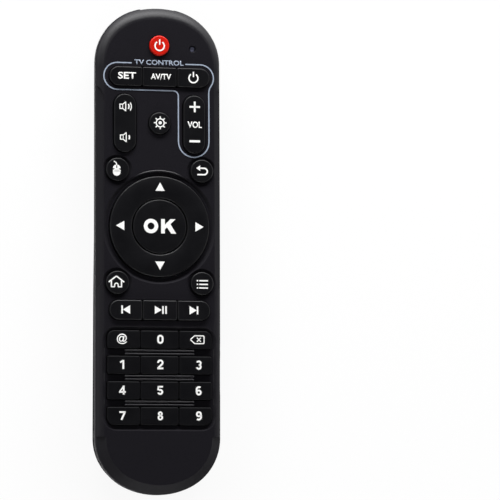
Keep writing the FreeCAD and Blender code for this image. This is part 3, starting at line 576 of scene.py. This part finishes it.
def plated_steel(name, dark, light, rough):
    """Warm grey metal whose reflections are drawn out along fine lines."""
    material, place = surface(name)
    drawn = add(material, "ShaderNodeMapping", {"Vector": place, "Scale": (1.0, 1.0, 12.0)}).outputs["Vector"]
    lines = add(material, "ShaderNodeTexNoise", {
        "Vector": drawn, "Scale": 1 / (0.9 * mm), "Detail": 4.0, "Roughness": 0.7}).outputs["Fac"]
    colour = add(material, "ShaderNodeValToRGB", {"Fac": lines}, [(0.3, dark), (0.7, light)])
    satin = add(material, "ShaderNodeMapRange", {"Value": lines, "To Min": rough, "To Max": rough + 0.12})
    steel = add(material, "ShaderNodeBsdfPrincipled", {
        "Base Color": colour.outputs["Color"], "Metallic": 1.0, "Roughness": satin.outputs["Result"]})
    add(material, "ShaderNodeOutputMaterial", {"Surface": steel.outputs["BSDF"]})
    return material


nickel = plated_steel("nickel_plated_steel", "#b8b3a8", "#d6d2c8", 0.2)
give(nickel, ["bridge_contact", "positive_contact", "negative_contact"])
print("contacts plated")

# %% [markdown]
# ## The cells
# A plain AAA cell is a steel can in a printed film: bare steel at both ends, a green body and a pale
# band near the positive end. Constant colour stops along the cell give the sharp printed edges, and
# the same places say where the surface is bare metal.

# %% Printed film of the cells
film_colours = [(0.0, "#b9b7b2"), (0.018, "#1d5a52"), (0.66, "#c9ccd0"), (0.7, "#e6e8ea"),
                (0.74, "#123a36"), (0.965, "#b9b7b2")]
bare_steel = [(0.0, "#ffffff"), (0.018, "#000000"), (0.965, "#ffffff")]


def cell_film(name, node, positive_side):
    """Glossy printed film between two bare ends; the positive end is at the high or low Y side."""
    material, place = surface(name)
    low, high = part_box(node)
    start, end = (low.y, high.y) if positive_side > 0 else (high.y, low.y)
    along = add(material, "ShaderNodeSeparateXYZ", {"Vector": place}).outputs["Y"]
    share = add(material, "ShaderNodeMapRange", {"Value": along, "From Min": start,
                                                 "From Max": end}).outputs["Result"]
    colour = add(material, "ShaderNodeValToRGB", {"Fac": share}, film_colours)
    metal = add(material, "ShaderNodeValToRGB", {"Fac": share}, bare_steel)
    for bands in (colour, metal):
        bands.color_ramp.interpolation = "CONSTANT"
    wrinkles = add(material, "ShaderNodeTexNoise", {"Vector": place, "Scale": 1 / (2.5 * mm)}).outputs["Fac"]
    relief = add(material, "ShaderNodeBump", {"Height": wrinkles, "Distance": 0.01 * mm})
    cell = add(material, "ShaderNodeBsdfPrincipled", {
        "Base Color": colour.outputs["Color"], "Metallic": metal.outputs["Color"], "Roughness": 0.28,
        "Normal": relief.outputs["Normal"]})
    add(material, "ShaderNodeOutputMaterial", {"Surface": cell.outputs["BSDF"]})
    return material


give(cell_film("printed_cell_film_left", "battery_left", 1), ["battery_left"])
give(cell_film("printed_cell_film_right", "battery_right", -1), ["battery_right"])
print("two cells in printed film")

# %% [markdown]
# ## Printing ink
# Pad-printing ink is a thin matt film that stands a few hundredths of a millimetre proud. The legends
# are a warm white, and the line and the caption around the television keys are a bluish grey.

# %% Two inks


def ink(name, dark, light):
    """A flat, even colour with the least unevenness of a print."""
    material, place = surface(name)
    film = add(material, "ShaderNodeTexNoise", {"Vector": place, "Scale": 1 / (0.8 * mm),
                                                "Detail": 3.0}).outputs["Fac"]
    colour = add(material, "ShaderNodeValToRGB", {"Fac": film}, [(0.3, dark), (0.7, light)])
    relief = add(material, "ShaderNodeBump", {"Height": film, "Distance": 0.006 * mm})
    paint = add(material, "ShaderNodeBsdfPrincipled", {
        "Base Color": colour.outputs["Color"], "Roughness": 0.5, "IOR": 1.45,
        "Normal": relief.outputs["Normal"]})
    add(material, "ShaderNodeOutputMaterial", {"Surface": paint.outputs["BSDF"]})
    return material


white_ink = ink("white_pad_print_ink", "#ececea", "#f6f6f4")
grey_ink = ink("blue_grey_pad_print_ink", "#8f9aab", "#9ba6b6")

# %% [markdown]
# ## Laying ink on a key
# A drawn legend is flat and lies at the origin. It is turned to the face, lifted over its key, and
# then pressed on: Shrinkwrap projects it down on the key's surface, so that it follows a crowned key,
# and Solidify gives it the thickness of ink.

# %% The printing step
ink_lift = 0.03
ink_thickness = 0.04
ink_cuts = 2
drop_height = 3.0
body_of = {node: body for body, group in frame["record"]["behaviour"]["bodies"].items() for node in group}


def print_on(piece, node, x, y, material):
    """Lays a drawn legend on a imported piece, with its own origin at a point of the face."""
    active(piece)
    flat = face_axes @ Vector((x, face_middle + y, face_top + drop_height)) * mm
    piece.matrix_world = Matrix.Translation(flat) @ face_axes.to_4x4()
    bake_place(piece)
    edit_all()
    bpy.ops.mesh.quads_convert_to_tris()
    bpy.ops.mesh.dissolve_degenerate(threshold=sliver * mm)
    bpy.ops.mesh.subdivide(number_cuts=ink_cuts)
    bpy.ops.mesh.normals_make_consistent(inside=False)
    close_edit()
    if sum(polygon.area * polygon.normal.z for polygon in piece.data.polygons) < 0:
        piece.data.flip_normals()
    press = piece.modifiers.new("press", "SHRINKWRAP")
    press.target = nodes[node]
    press.wrap_method = "PROJECT"
    press.use_project_z = True
    press.use_negative_direction = True
    press.use_positive_direction = False
    press.offset = ink_lift * mm
    bpy.ops.object.modifier_apply(modifier="press")
    film = piece.modifiers.new("film", "SOLIDIFY")
    film.thickness = ink_thickness * mm
    film.offset = 1.0
    bpy.ops.object.modifier_apply(modifier="film")
    piece.data.materials.clear()
    piece.data.materials.append(material)
    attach(piece, body_of[node])


# %% [markdown]
# ## The line round the television keys
# One grey line frames the row of keys that work the television and the volume rocker. It is a single
# stroke: right along the top, round the end of the row, in to the rocker, round its foot, back along
# the row and round the left end. The caption stands in the gap.

# %% Line and caption
line_width = 0.45
line_above = 0.4
line_below = 0.6
line_under_rocker = 1.45
row_low, row_high = face_span("input_key")
loop_low, loop_high = face_span("volume_rocker")
row_top = row_high.y - face_middle + line_above
row_bottom = row_low.y - face_middle - line_below
row_round = (row_top - row_bottom) / 2
row_left = -20.9
row_right = 20.6
loop_left = 7.2
loop_right = 18.8
loop_round = (loop_right - loop_left) / 2
loop_middle = loop_low.y - face_middle - line_under_rocker + loop_round
neck_round = 4.0
corner_round = 1.9
caption_left = -10.4
caption_right = 9.9
end_x = row_right - row_round
neck_turn = math.degrees(math.acos((loop_right - end_x + neck_round) / (row_round + neck_round)))
neck_y = (row_top + row_bottom) / 2 - (row_round + neck_round) * math.sin(math.radians(neck_turn))
frame_line = stroke(line_width, caption_right, row_top, 0.0, [
    end_x - caption_right, (row_round, -90.0 - neck_turn), (neck_round, neck_turn), neck_y - loop_middle,
    (loop_round, -180.0), row_bottom - corner_round - loop_middle, (corner_round, 90.0),
    loop_left - corner_round - row_left - row_round, (row_round, -180.0),
    caption_left - row_left - row_round])
frame_line.name = "television_key_line"
print_on(frame_line, "front_cover", 0.0, 0.0, grey_ink)
caption = joined("television_caption", [words("TV CONTROL", 18.6, 1.9, 0.02)])
caption_rise = 0.35
print_on(caption, "front_cover", -0.1, row_top + caption_rise, grey_ink)
print("line and caption printed")

# %% [markdown]
# ## The lip above the direction ring
# The ring sits in a shallow dish, and on its head side the edge of that dish stands up as a fine
# round lip, which draws the one bright arc on the face. Its round section is swept about the ring's
# middle with the Spin operator, and the arc is tipped so that both ends sink into the cover.

# %% Lip of the ring dish
lip_radius = 20.7
lip_thick = 0.5
lip_reach = 38.0
lip_tip = 6.0
lip_steps = 48
lip_corners = 20
lip_rise = 0.24
lip_outside = 1.2
smooth_below = math.radians(40)


def cover_height(x, y):
    """Height of the front cover over a point of the face, on the face's axes in millimetres."""
    start = face_axes @ Vector((x, face_middle + y, face_top + drop_height)) * mm
    found, place, normal, index = nodes["front_cover"].ray_cast(start, -face_up)
    return (face_axes.inverted() @ place).z / mm


ring_x, ring_y = middle_of("ok_key")
lip_z = cover_height(ring_x, ring_y + lip_radius + lip_outside) - lip_thick + lip_rise
lip_start = math.radians(90.0 - lip_reach)
deselect()
bpy.ops.mesh.primitive_circle_add(
    vertices=lip_corners, radius=lip_thick * mm, fill_type="NGON",
    location=(lip_radius * math.cos(lip_start) * mm, lip_radius * math.sin(lip_start) * mm, 0.0),
    rotation=(math.radians(90), 0.0, lip_start))
lip = bpy.context.object
lip.name = "ring_dish_lip"
bake_place(lip)
edit_all()
bpy.ops.mesh.spin(steps=lip_steps, angle=-math.radians(2 * lip_reach), center=(0, 0, 0), axis=(0, 0, 1))
bpy.ops.mesh.select_all(action="SELECT")
bpy.ops.mesh.remove_doubles(threshold=sliver * mm)
bpy.ops.mesh.normals_make_consistent(inside=False)
close_edit()
active(lip)
bpy.ops.object.shade_smooth_by_angle(angle=smooth_below)
tip_about = Matrix.Translation((0.0, lip_radius * mm, 0.0))
tipped = tip_about @ Matrix.Rotation(math.radians(lip_tip), 4, "X") @ tip_about.inverted()
lip_middle = face_axes @ Vector((ring_x, face_middle + ring_y, lip_z)) * mm
lip.matrix_world = Matrix.Translation(lip_middle) @ face_axes.to_4x4() @ tipped
bake_place(lip)
lip.data.materials.append(rubbed_abs)
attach(lip, "case")
print("lip round the ring:", len(lip.data.polygons), "faces")

# %% [markdown]
# ## Legends of the upper keys
# Each legend is drawn about its own middle. The words are plain function words, and the pictures are
# the usual ones: a broken ring with a bar for power, a cone with waves for sound, a toothed wheel.

# %% Power, sound and settings


def power_sign(radius, width):
    """A ring broken at its top, with a bar in the gap."""
    return [arc(0.0, -0.1 * radius, radius, width, 125.0, 290.0),
            stroke(width, 0.0, 0.15 * radius, 90.0, [1.15 * radius])]


def cone_sign(width):
    """A loudspeaker: an open box and cone."""
    return [stroke(width, -1.9, -0.8, 90.0, [1.6]), stroke(width, -2.05, 0.8, 0.0, [1.3]),
            stroke(width, -2.05, -0.8, 0.0, [1.3]), stroke(width, -0.85, 0.75, 40.0, [1.6]),
            stroke(width, -0.85, -0.75, -40.0, [1.6]), stroke(width, 0.3, -1.75, 90.0, [3.5]),
            stroke(width * 0.7, -0.85, -0.8, 90.0, [1.6])]


def gear_sign(teeth=8, inner=1.5, outer=2.4, width=0.42):
    """A toothed wheel: a ring, a hub and a short stroke for each tooth."""
    parts = [ring(0.0, 0.0, inner, width), dot(0.0, 0.0, 0.62)]
    for k in range(teeth):
        angle = math.radians(90 + 360 * k / teeth)
        parts.append(stroke(width, inner * math.cos(angle), inner * math.sin(angle), math.degrees(angle),
                            [outer - inner]))
    return parts


def legend(name, parts, node, dx=0.0, dy=0.0):
    """Prints a drawn legend in the middle of a key, or beside it by a distance."""
    x, y = middle_of(node)
    print_on(joined(name, parts), node, x + dx, y + dy, white_ink)


legend("power_legend", power_sign(1.75, 0.5), "power_key", 0.0, -0.1)
legend("set_legend", [words("SET", 6.8, 2.6, 0.02)], "set_key", 0.9, 0.0)
legend("input_legend", [words("AV/TV", 7.7, 2.2, 0.02)], "input_key", 0.45, -0.1)
legend("tv_power_legend", power_sign(1.7, 0.5), "tv_power_key", -0.5, -0.1)
louder = cone_sign(0.36) + [arc(-0.4, 0.0, 1.9, 0.5, -28.0, 56.0), arc(-0.4, 0.0, 2.8, 0.36, -32.0, 64.0)]
legend("louder_legend", louder, "sound_rocker", -0.1, 6.0)
quieter = cone_sign(0.36) + [arc(-0.4, 0.0, 1.9, 0.5, -24.0, 48.0)]
legend("quieter_legend", quieter, "sound_rocker", 0.1, -5.5)
plus = [stroke(0.7, -2.0, 0.0, 0.0, [4.0]), stroke(0.7, 0.0, -2.0, 90.0, [4.0])]
legend("plus_legend", plus, "volume_rocker", 0.1, 6.5)
legend("volume_legend", [words("VOL", 5.4, 2.4, 0.02)], "volume_rocker", 0.1, -0.2)
legend("minus_legend", [stroke(0.8, -2.0, 0.0, 0.0, [4.0])], "volume_rocker", 0.1, -6.4)
legend("settings_legend", gear_sign(), "settings_key", 0.1, 0.0)
print("legends of the upper keys printed")

# %% [markdown]
# ## Legends round the direction ring
# The four arrows are plain triangles, and each corner key has a small picture: a mouse, a bent
# arrow, a house and a list.

# %% Arrows, OK and the corner keys


def arrow(name, heading, distance, length=3.1, width=3.5):
    """Prints a triangle on the ring, pointing away from its middle."""
    turn = Matrix.Rotation(math.radians(heading), 2)
    corners = [turn @ Vector(p) for p in ((length / 2, 0.0), (-length / 2, width / 2),
                                          (-length / 2, -width / 2))]
    place = turn @ Vector((distance, 0.0))
    legend(name, [shape(corners)], "direction_ring", place.x, place.y)


arrow("up_legend", 90.0, 14.7)
arrow("down_legend", -90.0, 14.7)
arrow("left_legend", 180.0, 15.0)
arrow("right_legend", 0.0, 14.9)
letter_o = [ring(-3.4, 0.0, 2.0, 1.4)]
letter_k = [stroke(1.4, 1.1, -2.68, 90.0, [5.36]),
            shape([(1.6, 0.35), (3.95, 2.68), (5.85, 2.68), (1.6, -1.4)]),
            shape([(2.5, -0.2), (3.8, 1.0), (6.1, -2.68), (4.2, -2.68)])]
legend("ok_legend", letter_o + letter_k, "ok_key")
mouse = [dot(0.0, -1.0, 1.45), stroke(2.9, 0.0, -1.0, 90.0, [0.8]),
         shape([(-1.45, 0.3), (-0.2, 0.3), (-0.2, 1.65), (-0.8, 1.5), (-1.3, 1.0)]),
         shape([(1.45, 0.3), (0.2, 0.3), (0.2, 1.65), (0.8, 1.5), (1.3, 1.0)]),
         stroke(0.36, 0.0, 1.4, 95.0, [0.5, (0.9, 55.0), 0.7])]
legend("mouse_legend", mouse, "mouse_key", -0.4, -0.1)
back = [stroke(0.55, -0.9, 0.95, 0.0, [1.7, (1.2, -180.0), 2.6]),
        shape([(-2.2, 0.95), (-0.7, 2.0), (-0.7, -0.1)])]
legend("back_legend", back, "back_key")
roof = [stroke(0.5, -2.9, -0.2, 37.5, [3.65]), stroke(0.5, 2.9, -0.2, 142.5, [3.65])]
walls = [stroke(0.5, -1.9, 0.3, -90.0, [2.3]), stroke(0.5, 1.9, 0.3, -90.0, [2.3])]
doorway = [stroke(0.45, -2.1, -1.95, 0.0, [1.5]), stroke(0.45, 0.6, -1.95, 0.0, [1.5]),
           stroke(0.42, -0.65, -1.95, 90.0, [0.7, (0.65, -180.0), 0.7])]
legend("home_legend", roof + walls + doorway, "home_key", -0.5, 0.2)
menu = []
for y in (1.35, 0.0, -1.35):
    menu += [stroke(0.5, -1.15, y, 0.0, [3.3]), stroke(0.5, -2.1, y, 0.0, [0.55])]
legend("menu_legend", menu, "menu_key", 0.0, -0.4)
print("legends round the ring printed")

# %% [markdown]
# ## Media keys and the number pad
# Digits are drawn bold, 3.3 mm high, in the plain style of road signs, because the built-in lettering
# of Blender is too light for a keypad. The delete key carries a tag with a cross in it.

# %% Media signs, digits and delete


def triangle(x, length, height, direction):
    """A triangle about a point, pointing right or left."""
    tip, foot = (x + direction * length / 2, x - direction * length / 2)
    return shape([(tip, 0.0), (foot, height / 2), (foot, -height / 2)])


previous = [stroke(0.6, -1.5, -1.5, 90.0, [3.0]), triangle(0.15, 2.7, 3.2, -1)]
following = [stroke(0.6, 1.5, -1.5, 90.0, [3.0]), triangle(-0.15, 2.7, 3.2, 1)]
play_pause = [triangle(-1.0, 2.6, 3.0, 1), stroke(0.6, 0.75, -1.45, 90.0, [2.9]),
              stroke(0.6, 1.9, -1.45, 90.0, [2.9])]
legend("previous_legend", previous, "previous_key", 0.5, 0.0)
legend("play_pause_legend", play_pause, "play_pause_key", 0.3, 0.0)
legend("next_legend", following, "next_key", -0.7, 0.0)
bold = 0.68
six = [ring(0.0, -0.7, 0.744, bold), stroke(bold, -0.82, -0.55, 90.0, [0.95, (0.9, -128.0)])]
nine = [ring(0.0, 0.7, 0.744, bold), stroke(bold, 0.82, 0.55, -90.0, [0.95, (0.9, -128.0)])]
digits = {
    "0": [stroke(bold, 0.84, 0.0, 90.0, [0.48, (0.84, 180.0), 0.96, (0.84, 180.0), 0.48])],
    "1": [stroke(bold, 0.3, -1.65, 90.0, [3.3]), stroke(0.58, -0.85, 0.72, 36.0, [1.3])],
    "2": [stroke(bold, -0.84, 0.72, 90.0, [0.05, (0.84, -227.0), 2.1]),
          stroke(bold, -1.15, -1.31, 0.0, [2.3])],
    "3": [arc(0.0, 0.72, 0.7, bold, -90.0, 250.0), arc(0.0, -0.6, 0.74, bold, -165.0, 255.0)],
    "4": [stroke(bold, 0.45, -1.65, 90.0, [3.3]), stroke(bold * 0.9, -1.25, -0.7, 0.0, [2.5]),
          stroke(bold * 0.8, -1.05, -0.6, 53.0, [2.45])],
    "5": [stroke(bold * 0.9, -0.85, 1.33, 0.0, [1.85]), stroke(bold * 0.9, -0.68, 1.5, -97.0, [1.5]),
          arc(-0.05, -0.58, 0.76, bold, -160.0, 290.0)],
    "6": six,
    "7": [stroke(bold * 0.95, -1.15, 1.32, 0.0, [2.3]), stroke(bold, 0.92, 1.35, -114.0, [3.15])],
    "8": [ring(0.0, 0.76, 0.58, bold * 0.92), ring(0.0, -0.64, 0.69, bold * 0.95)],
    "9": nine}
for sign, parts in digits.items():
    x = middle_of("key_" + sign)[0]
    legend("digit_" + sign + "_legend", parts, "key_" + sign, 0.0 if x < -5 else 0.2 if x < 5 else 0.7)
legend("at_legend", [words("@", 3.9, 3.8, 0.01)], "key_at", -0.2)
tag = [stroke(0.38, -0.9, 1.45, 0.0, [3.2, (0.4, -90.0), 2.1, (0.4, -90.0), 3.2]),
       stroke(0.38, -0.8, 1.5, 222.0, [2.15]), stroke(0.38, -0.8, -1.5, 138.0, [2.15]),
       stroke(0.36, 0.0, -0.75, 45.0, [2.1]), stroke(0.36, 0.0, 0.75, -45.0, [2.1])]
legend("delete_legend", tag, "key_delete")
print("all legends printed")

# %% [markdown]
# ## Battery springs
# A battery spring is wound of one steel wire, wide at the contact plate and narrow at the cell.
# A wire's round section is swept up by a Screw modifier, and a Simple Deform taper narrows the coil.

# %% Wind the springs
wire = 0.55
wire_corners = 12
turns = 4.5
coil_steps = 160
narrow_share = 0.7


def wound_spring(name, node, wide_end):
    """A conical coil in the place of a packed spring, wide at its low or high Y end."""
    low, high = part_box(node)
    length = high.y - low.y
    middle = (low + high) / 2
    radius = (high.x - low.x) / 2 - wire * mm / 2
    deselect()
    bpy.ops.mesh.primitive_circle_add(vertices=wire_corners, radius=wire * mm / 2,
                                      location=(radius, 0, 0), rotation=(math.radians(90), 0, 0))
    piece = bpy.context.object
    bake_place(piece)
    coil = piece.modifiers.new("coil", "SCREW")
    coil.angle = turns * 2 * math.pi
    coil.screw_offset = length - wire * mm
    coil.steps = coil_steps
    coil.render_steps = coil_steps
    coil.use_merge_vertices = True
    bpy.ops.object.modifier_apply(modifier="coil")
    edit_all()
    bpy.ops.mesh.fill_holes(sides=wire_corners)
    bpy.ops.mesh.normals_make_consistent(inside=False)
    close_edit()
    taper = piece.modifiers.new("taper", "SIMPLE_DEFORM")
    taper.deform_method = "TAPER"
    taper.deform_axis = "Z"
    taper.factor = narrow_share - 1.0
    bpy.ops.object.modifier_apply(modifier="taper")
    start = low.y + wire * mm / 2 if wide_end < 0 else high.y - wire * mm / 2
    piece.location = (middle.x, start, middle.z)
    piece.rotation_euler = (math.radians(-90 if wide_end < 0 else 90), 0, 0)
    bake_place(piece)
    active(piece)
    bpy.ops.object.shade_smooth()
    piece.name = name
    piece.data.materials.append(nickel)
    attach(piece, "case")
    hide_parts(node)


wound_spring("bridge_spring_coil", "bridge_spring", -1)
wound_spring("negative_spring_coil", "negative_spring", 1)
print("springs wound")

# %% [markdown]
# ## Floor and room
# Black plastic shows little but what it reflects, so the reflected room is white low down, which
# draws the sides, and dim overhead, which keeps the face black. The camera sees white all round. The
# floor is white paper that still takes a soft shadow and fades into the background far out, so that
# no horizon shows. It lies a hair under the remote, so that no two faces share one plane. From below
# it lets all light through, so that the back can be looked at too, under its own light.

# %% Floor and background
floor_size = 6.0
floor_gap = 0.1
floor_share = 0.9
fade_starts = 0.3
fade_ends = 1.5


def sight(material):
    """The kinds of ray, and a factor that is one for a ray that sees or mirrors the background."""
    rays = add(material, "ShaderNodeLightPath").outputs
    mirrored = add(material, "ShaderNodeMath", {0: rays["Is Glossy Ray"], 1: rays["Is Transmission Ray"]},
                   operation="MAXIMUM").outputs["Value"]
    seen = add(material, "ShaderNodeMath", {0: rays["Is Camera Ray"], 1: mirrored}, operation="MAXIMUM")
    return rays, seen.outputs["Value"]


deselect()
bpy.ops.mesh.primitive_plane_add(size=floor_size, location=(0.0, 0.0, -floor_gap * mm))
floor = bpy.context.object
floor.name = "floor"
paper, place = surface("pale_paper_floor")
rays, seen = sight(paper)
away = add(paper, "ShaderNodeVectorMath", {0: place}, operation="LENGTH").outputs["Value"]
fade = add(paper, "ShaderNodeMapRange", {"Value": away, "From Min": fade_starts, "From Max": fade_ends,
                                         "To Min": floor_share, "To Max": 1.0})
share = add(paper, "ShaderNodeMath", {0: seen, 1: fade.outputs["Result"]}, operation="MULTIPLY")
fibres = add(paper, "ShaderNodeTexNoise", {"Vector": place, "Scale": 1 / (2.0 * mm)}).outputs["Fac"]
tint = add(paper, "ShaderNodeValToRGB", {"Fac": fibres}, [(0.2, "#f0f0f0"), (0.8, "#f4f4f4")])
matt = add(paper, "ShaderNodeBsdfDiffuse", {"Color": tint.outputs["Color"]})
white = add(paper, "ShaderNodeEmission", {"Color": tone("#ffffff"), "Strength": 1.0})
above = add(paper, "ShaderNodeMixShader", {0: share.outputs["Value"], 1: matt.outputs["BSDF"],
                                          2: white.outputs["Emission"]})
below = add(paper, "ShaderNodeBsdfTransparent", {"Color": tone("#ffffff")})
underside = add(paper, "ShaderNodeNewGeometry").outputs["Backfacing"]
through = add(paper, "ShaderNodeMath", {0: underside, 1: rays["Is Shadow Ray"]},
              operation="MAXIMUM").outputs["Value"]
sheet = add(paper, "ShaderNodeMixShader", {0: through, 1: above.outputs["Shader"],
                                           2: below.outputs["BSDF"]})
add(paper, "ShaderNodeOutputMaterial", {"Surface": sheet.outputs["Shader"]})
floor.data.materials.append(paper)
print("floor laid")

# %% The room that is reflected
dim_strength = 0.2
wall_ends = 0.12
ceiling_starts = 0.25
ceiling_share = 0.06
world = bpy.data.worlds.new("studio")
bpy.context.scene.world = world
world.use_nodes = True
world.node_tree.nodes.clear()
direction = add(world, "ShaderNodeTexCoord").outputs["Generated"]
height = add(world, "ShaderNodeSeparateXYZ", {"Vector": direction}).outputs["Z"]
wall = add(world, "ShaderNodeMapRange", {"Value": height, "From Min": wall_ends, "From Max": ceiling_starts,
                                         "To Min": 1.0, "To Max": ceiling_share})
rays, seen = sight(world)
shown = add(world, "ShaderNodeMath", {0: rays["Is Camera Ray"], 1: wall.outputs["Result"]},
            operation="MAXIMUM").outputs["Value"]
strength = add(world, "ShaderNodeMix", {"Factor": seen, "A": dim_strength, "B": shown})
studio = add(world, "ShaderNodeBackground", {"Color": tone("#ffffff"),
                                            "Strength": strength.outputs["Result"]})
add(world, "ShaderNodeOutputWorld", {"Surface": studio.outputs["Background"]})
print("white room built")

# %% [markdown]
# ## Lights
# Five soft rectangular lamps stand about a metre away. The long one behind the head is the strongest:
# it draws the pale rim and the bright upper edge of each key. A weaker one behind the tail lights the
# bevel there, two dim strips draw the long sides, and one under the floor shows the back. Lamps of
# one colour, at a level at which the paper is just white, show each colour as it is written.

# %% Soft lamps


def soft_light(name, place, size_x, size_y, power):
    """A soft rectangular light that points at the middle of the remote."""
    lamp = bpy.data.lights.new(name, "AREA")
    lamp.shape = "RECTANGLE"
    lamp.size = size_x
    lamp.size_y = size_y
    lamp.energy = power
    holder = bpy.data.objects.new(name, lamp)
    bpy.context.scene.collection.objects.link(holder)
    holder.location = place
    holder.rotation_euler = Vector(place).to_track_quat("Z", "Y").to_euler()


soft_light("head_light", (0.0, 0.95, 0.32), 1.2, 0.2, 26.0)
soft_light("tail_light", (0.0, -0.95, 0.3), 1.0, 0.2, 5.0)
soft_light("left_light", (-0.92, -0.1, 0.38), 0.3, 1.0, 1.8)
soft_light("right_light", (0.92, -0.1, 0.38), 0.3, 1.0, 1.8)
soft_light("under_light", (0.0, 0.2, -1.0), 0.25, 0.9, 16.0)
print(len(bpy.data.lights), "lamps")

# %% [markdown]
# ## Camera
# A long lens more than a metre away gives the nearly parallel lines of a product photograph. Its
# place was found by fitting the outline of the model to the photographed one. It stands a little to
# the left and to the tail of the middle, and aims past the right side, which leaves the remote in the
# left half of the picture.

# %% Camera over the face
lens_mm = 227.6
sensor_mm = 36.0
distance = 1171.1
lean_side = math.radians(10.83)
lean_tail = math.radians(5.085)
roll = math.radians(-0.13)
aim_x = 34.25
aim_y = 0.31
towards = Vector((-math.sin(lean_side), -math.sin(lean_tail), 0.0))
towards.z = math.sqrt(1.0 - towards.length_squared)
centre = Vector((0.0, face_middle, face_top))
eye = face_axes @ (centre + towards * distance) * mm
aim = face_axes @ (centre + Vector((aim_x, aim_y, 0.0))) * mm
camera_data = bpy.data.cameras.new("camera")
camera_data.lens = lens_mm
camera_data.sensor_width = sensor_mm
camera = bpy.data.objects.new("camera", camera_data)
bpy.context.scene.collection.objects.link(camera)
back_axis = (eye - aim).normalized()
right_axis = face_along.cross(back_axis).normalized()
up_axis = back_axis.cross(right_axis)
turned = Matrix((right_axis, up_axis, back_axis)).transposed() @ Matrix.Rotation(roll, 3, "Z")
camera.matrix_world = Matrix.Translation(eye) @ turned.to_4x4()
bpy.context.scene.camera = camera
bpy.context.scene.view_settings.view_transform = "Standard"
print("camera", round((eye - aim).length, 3), "m from the face")
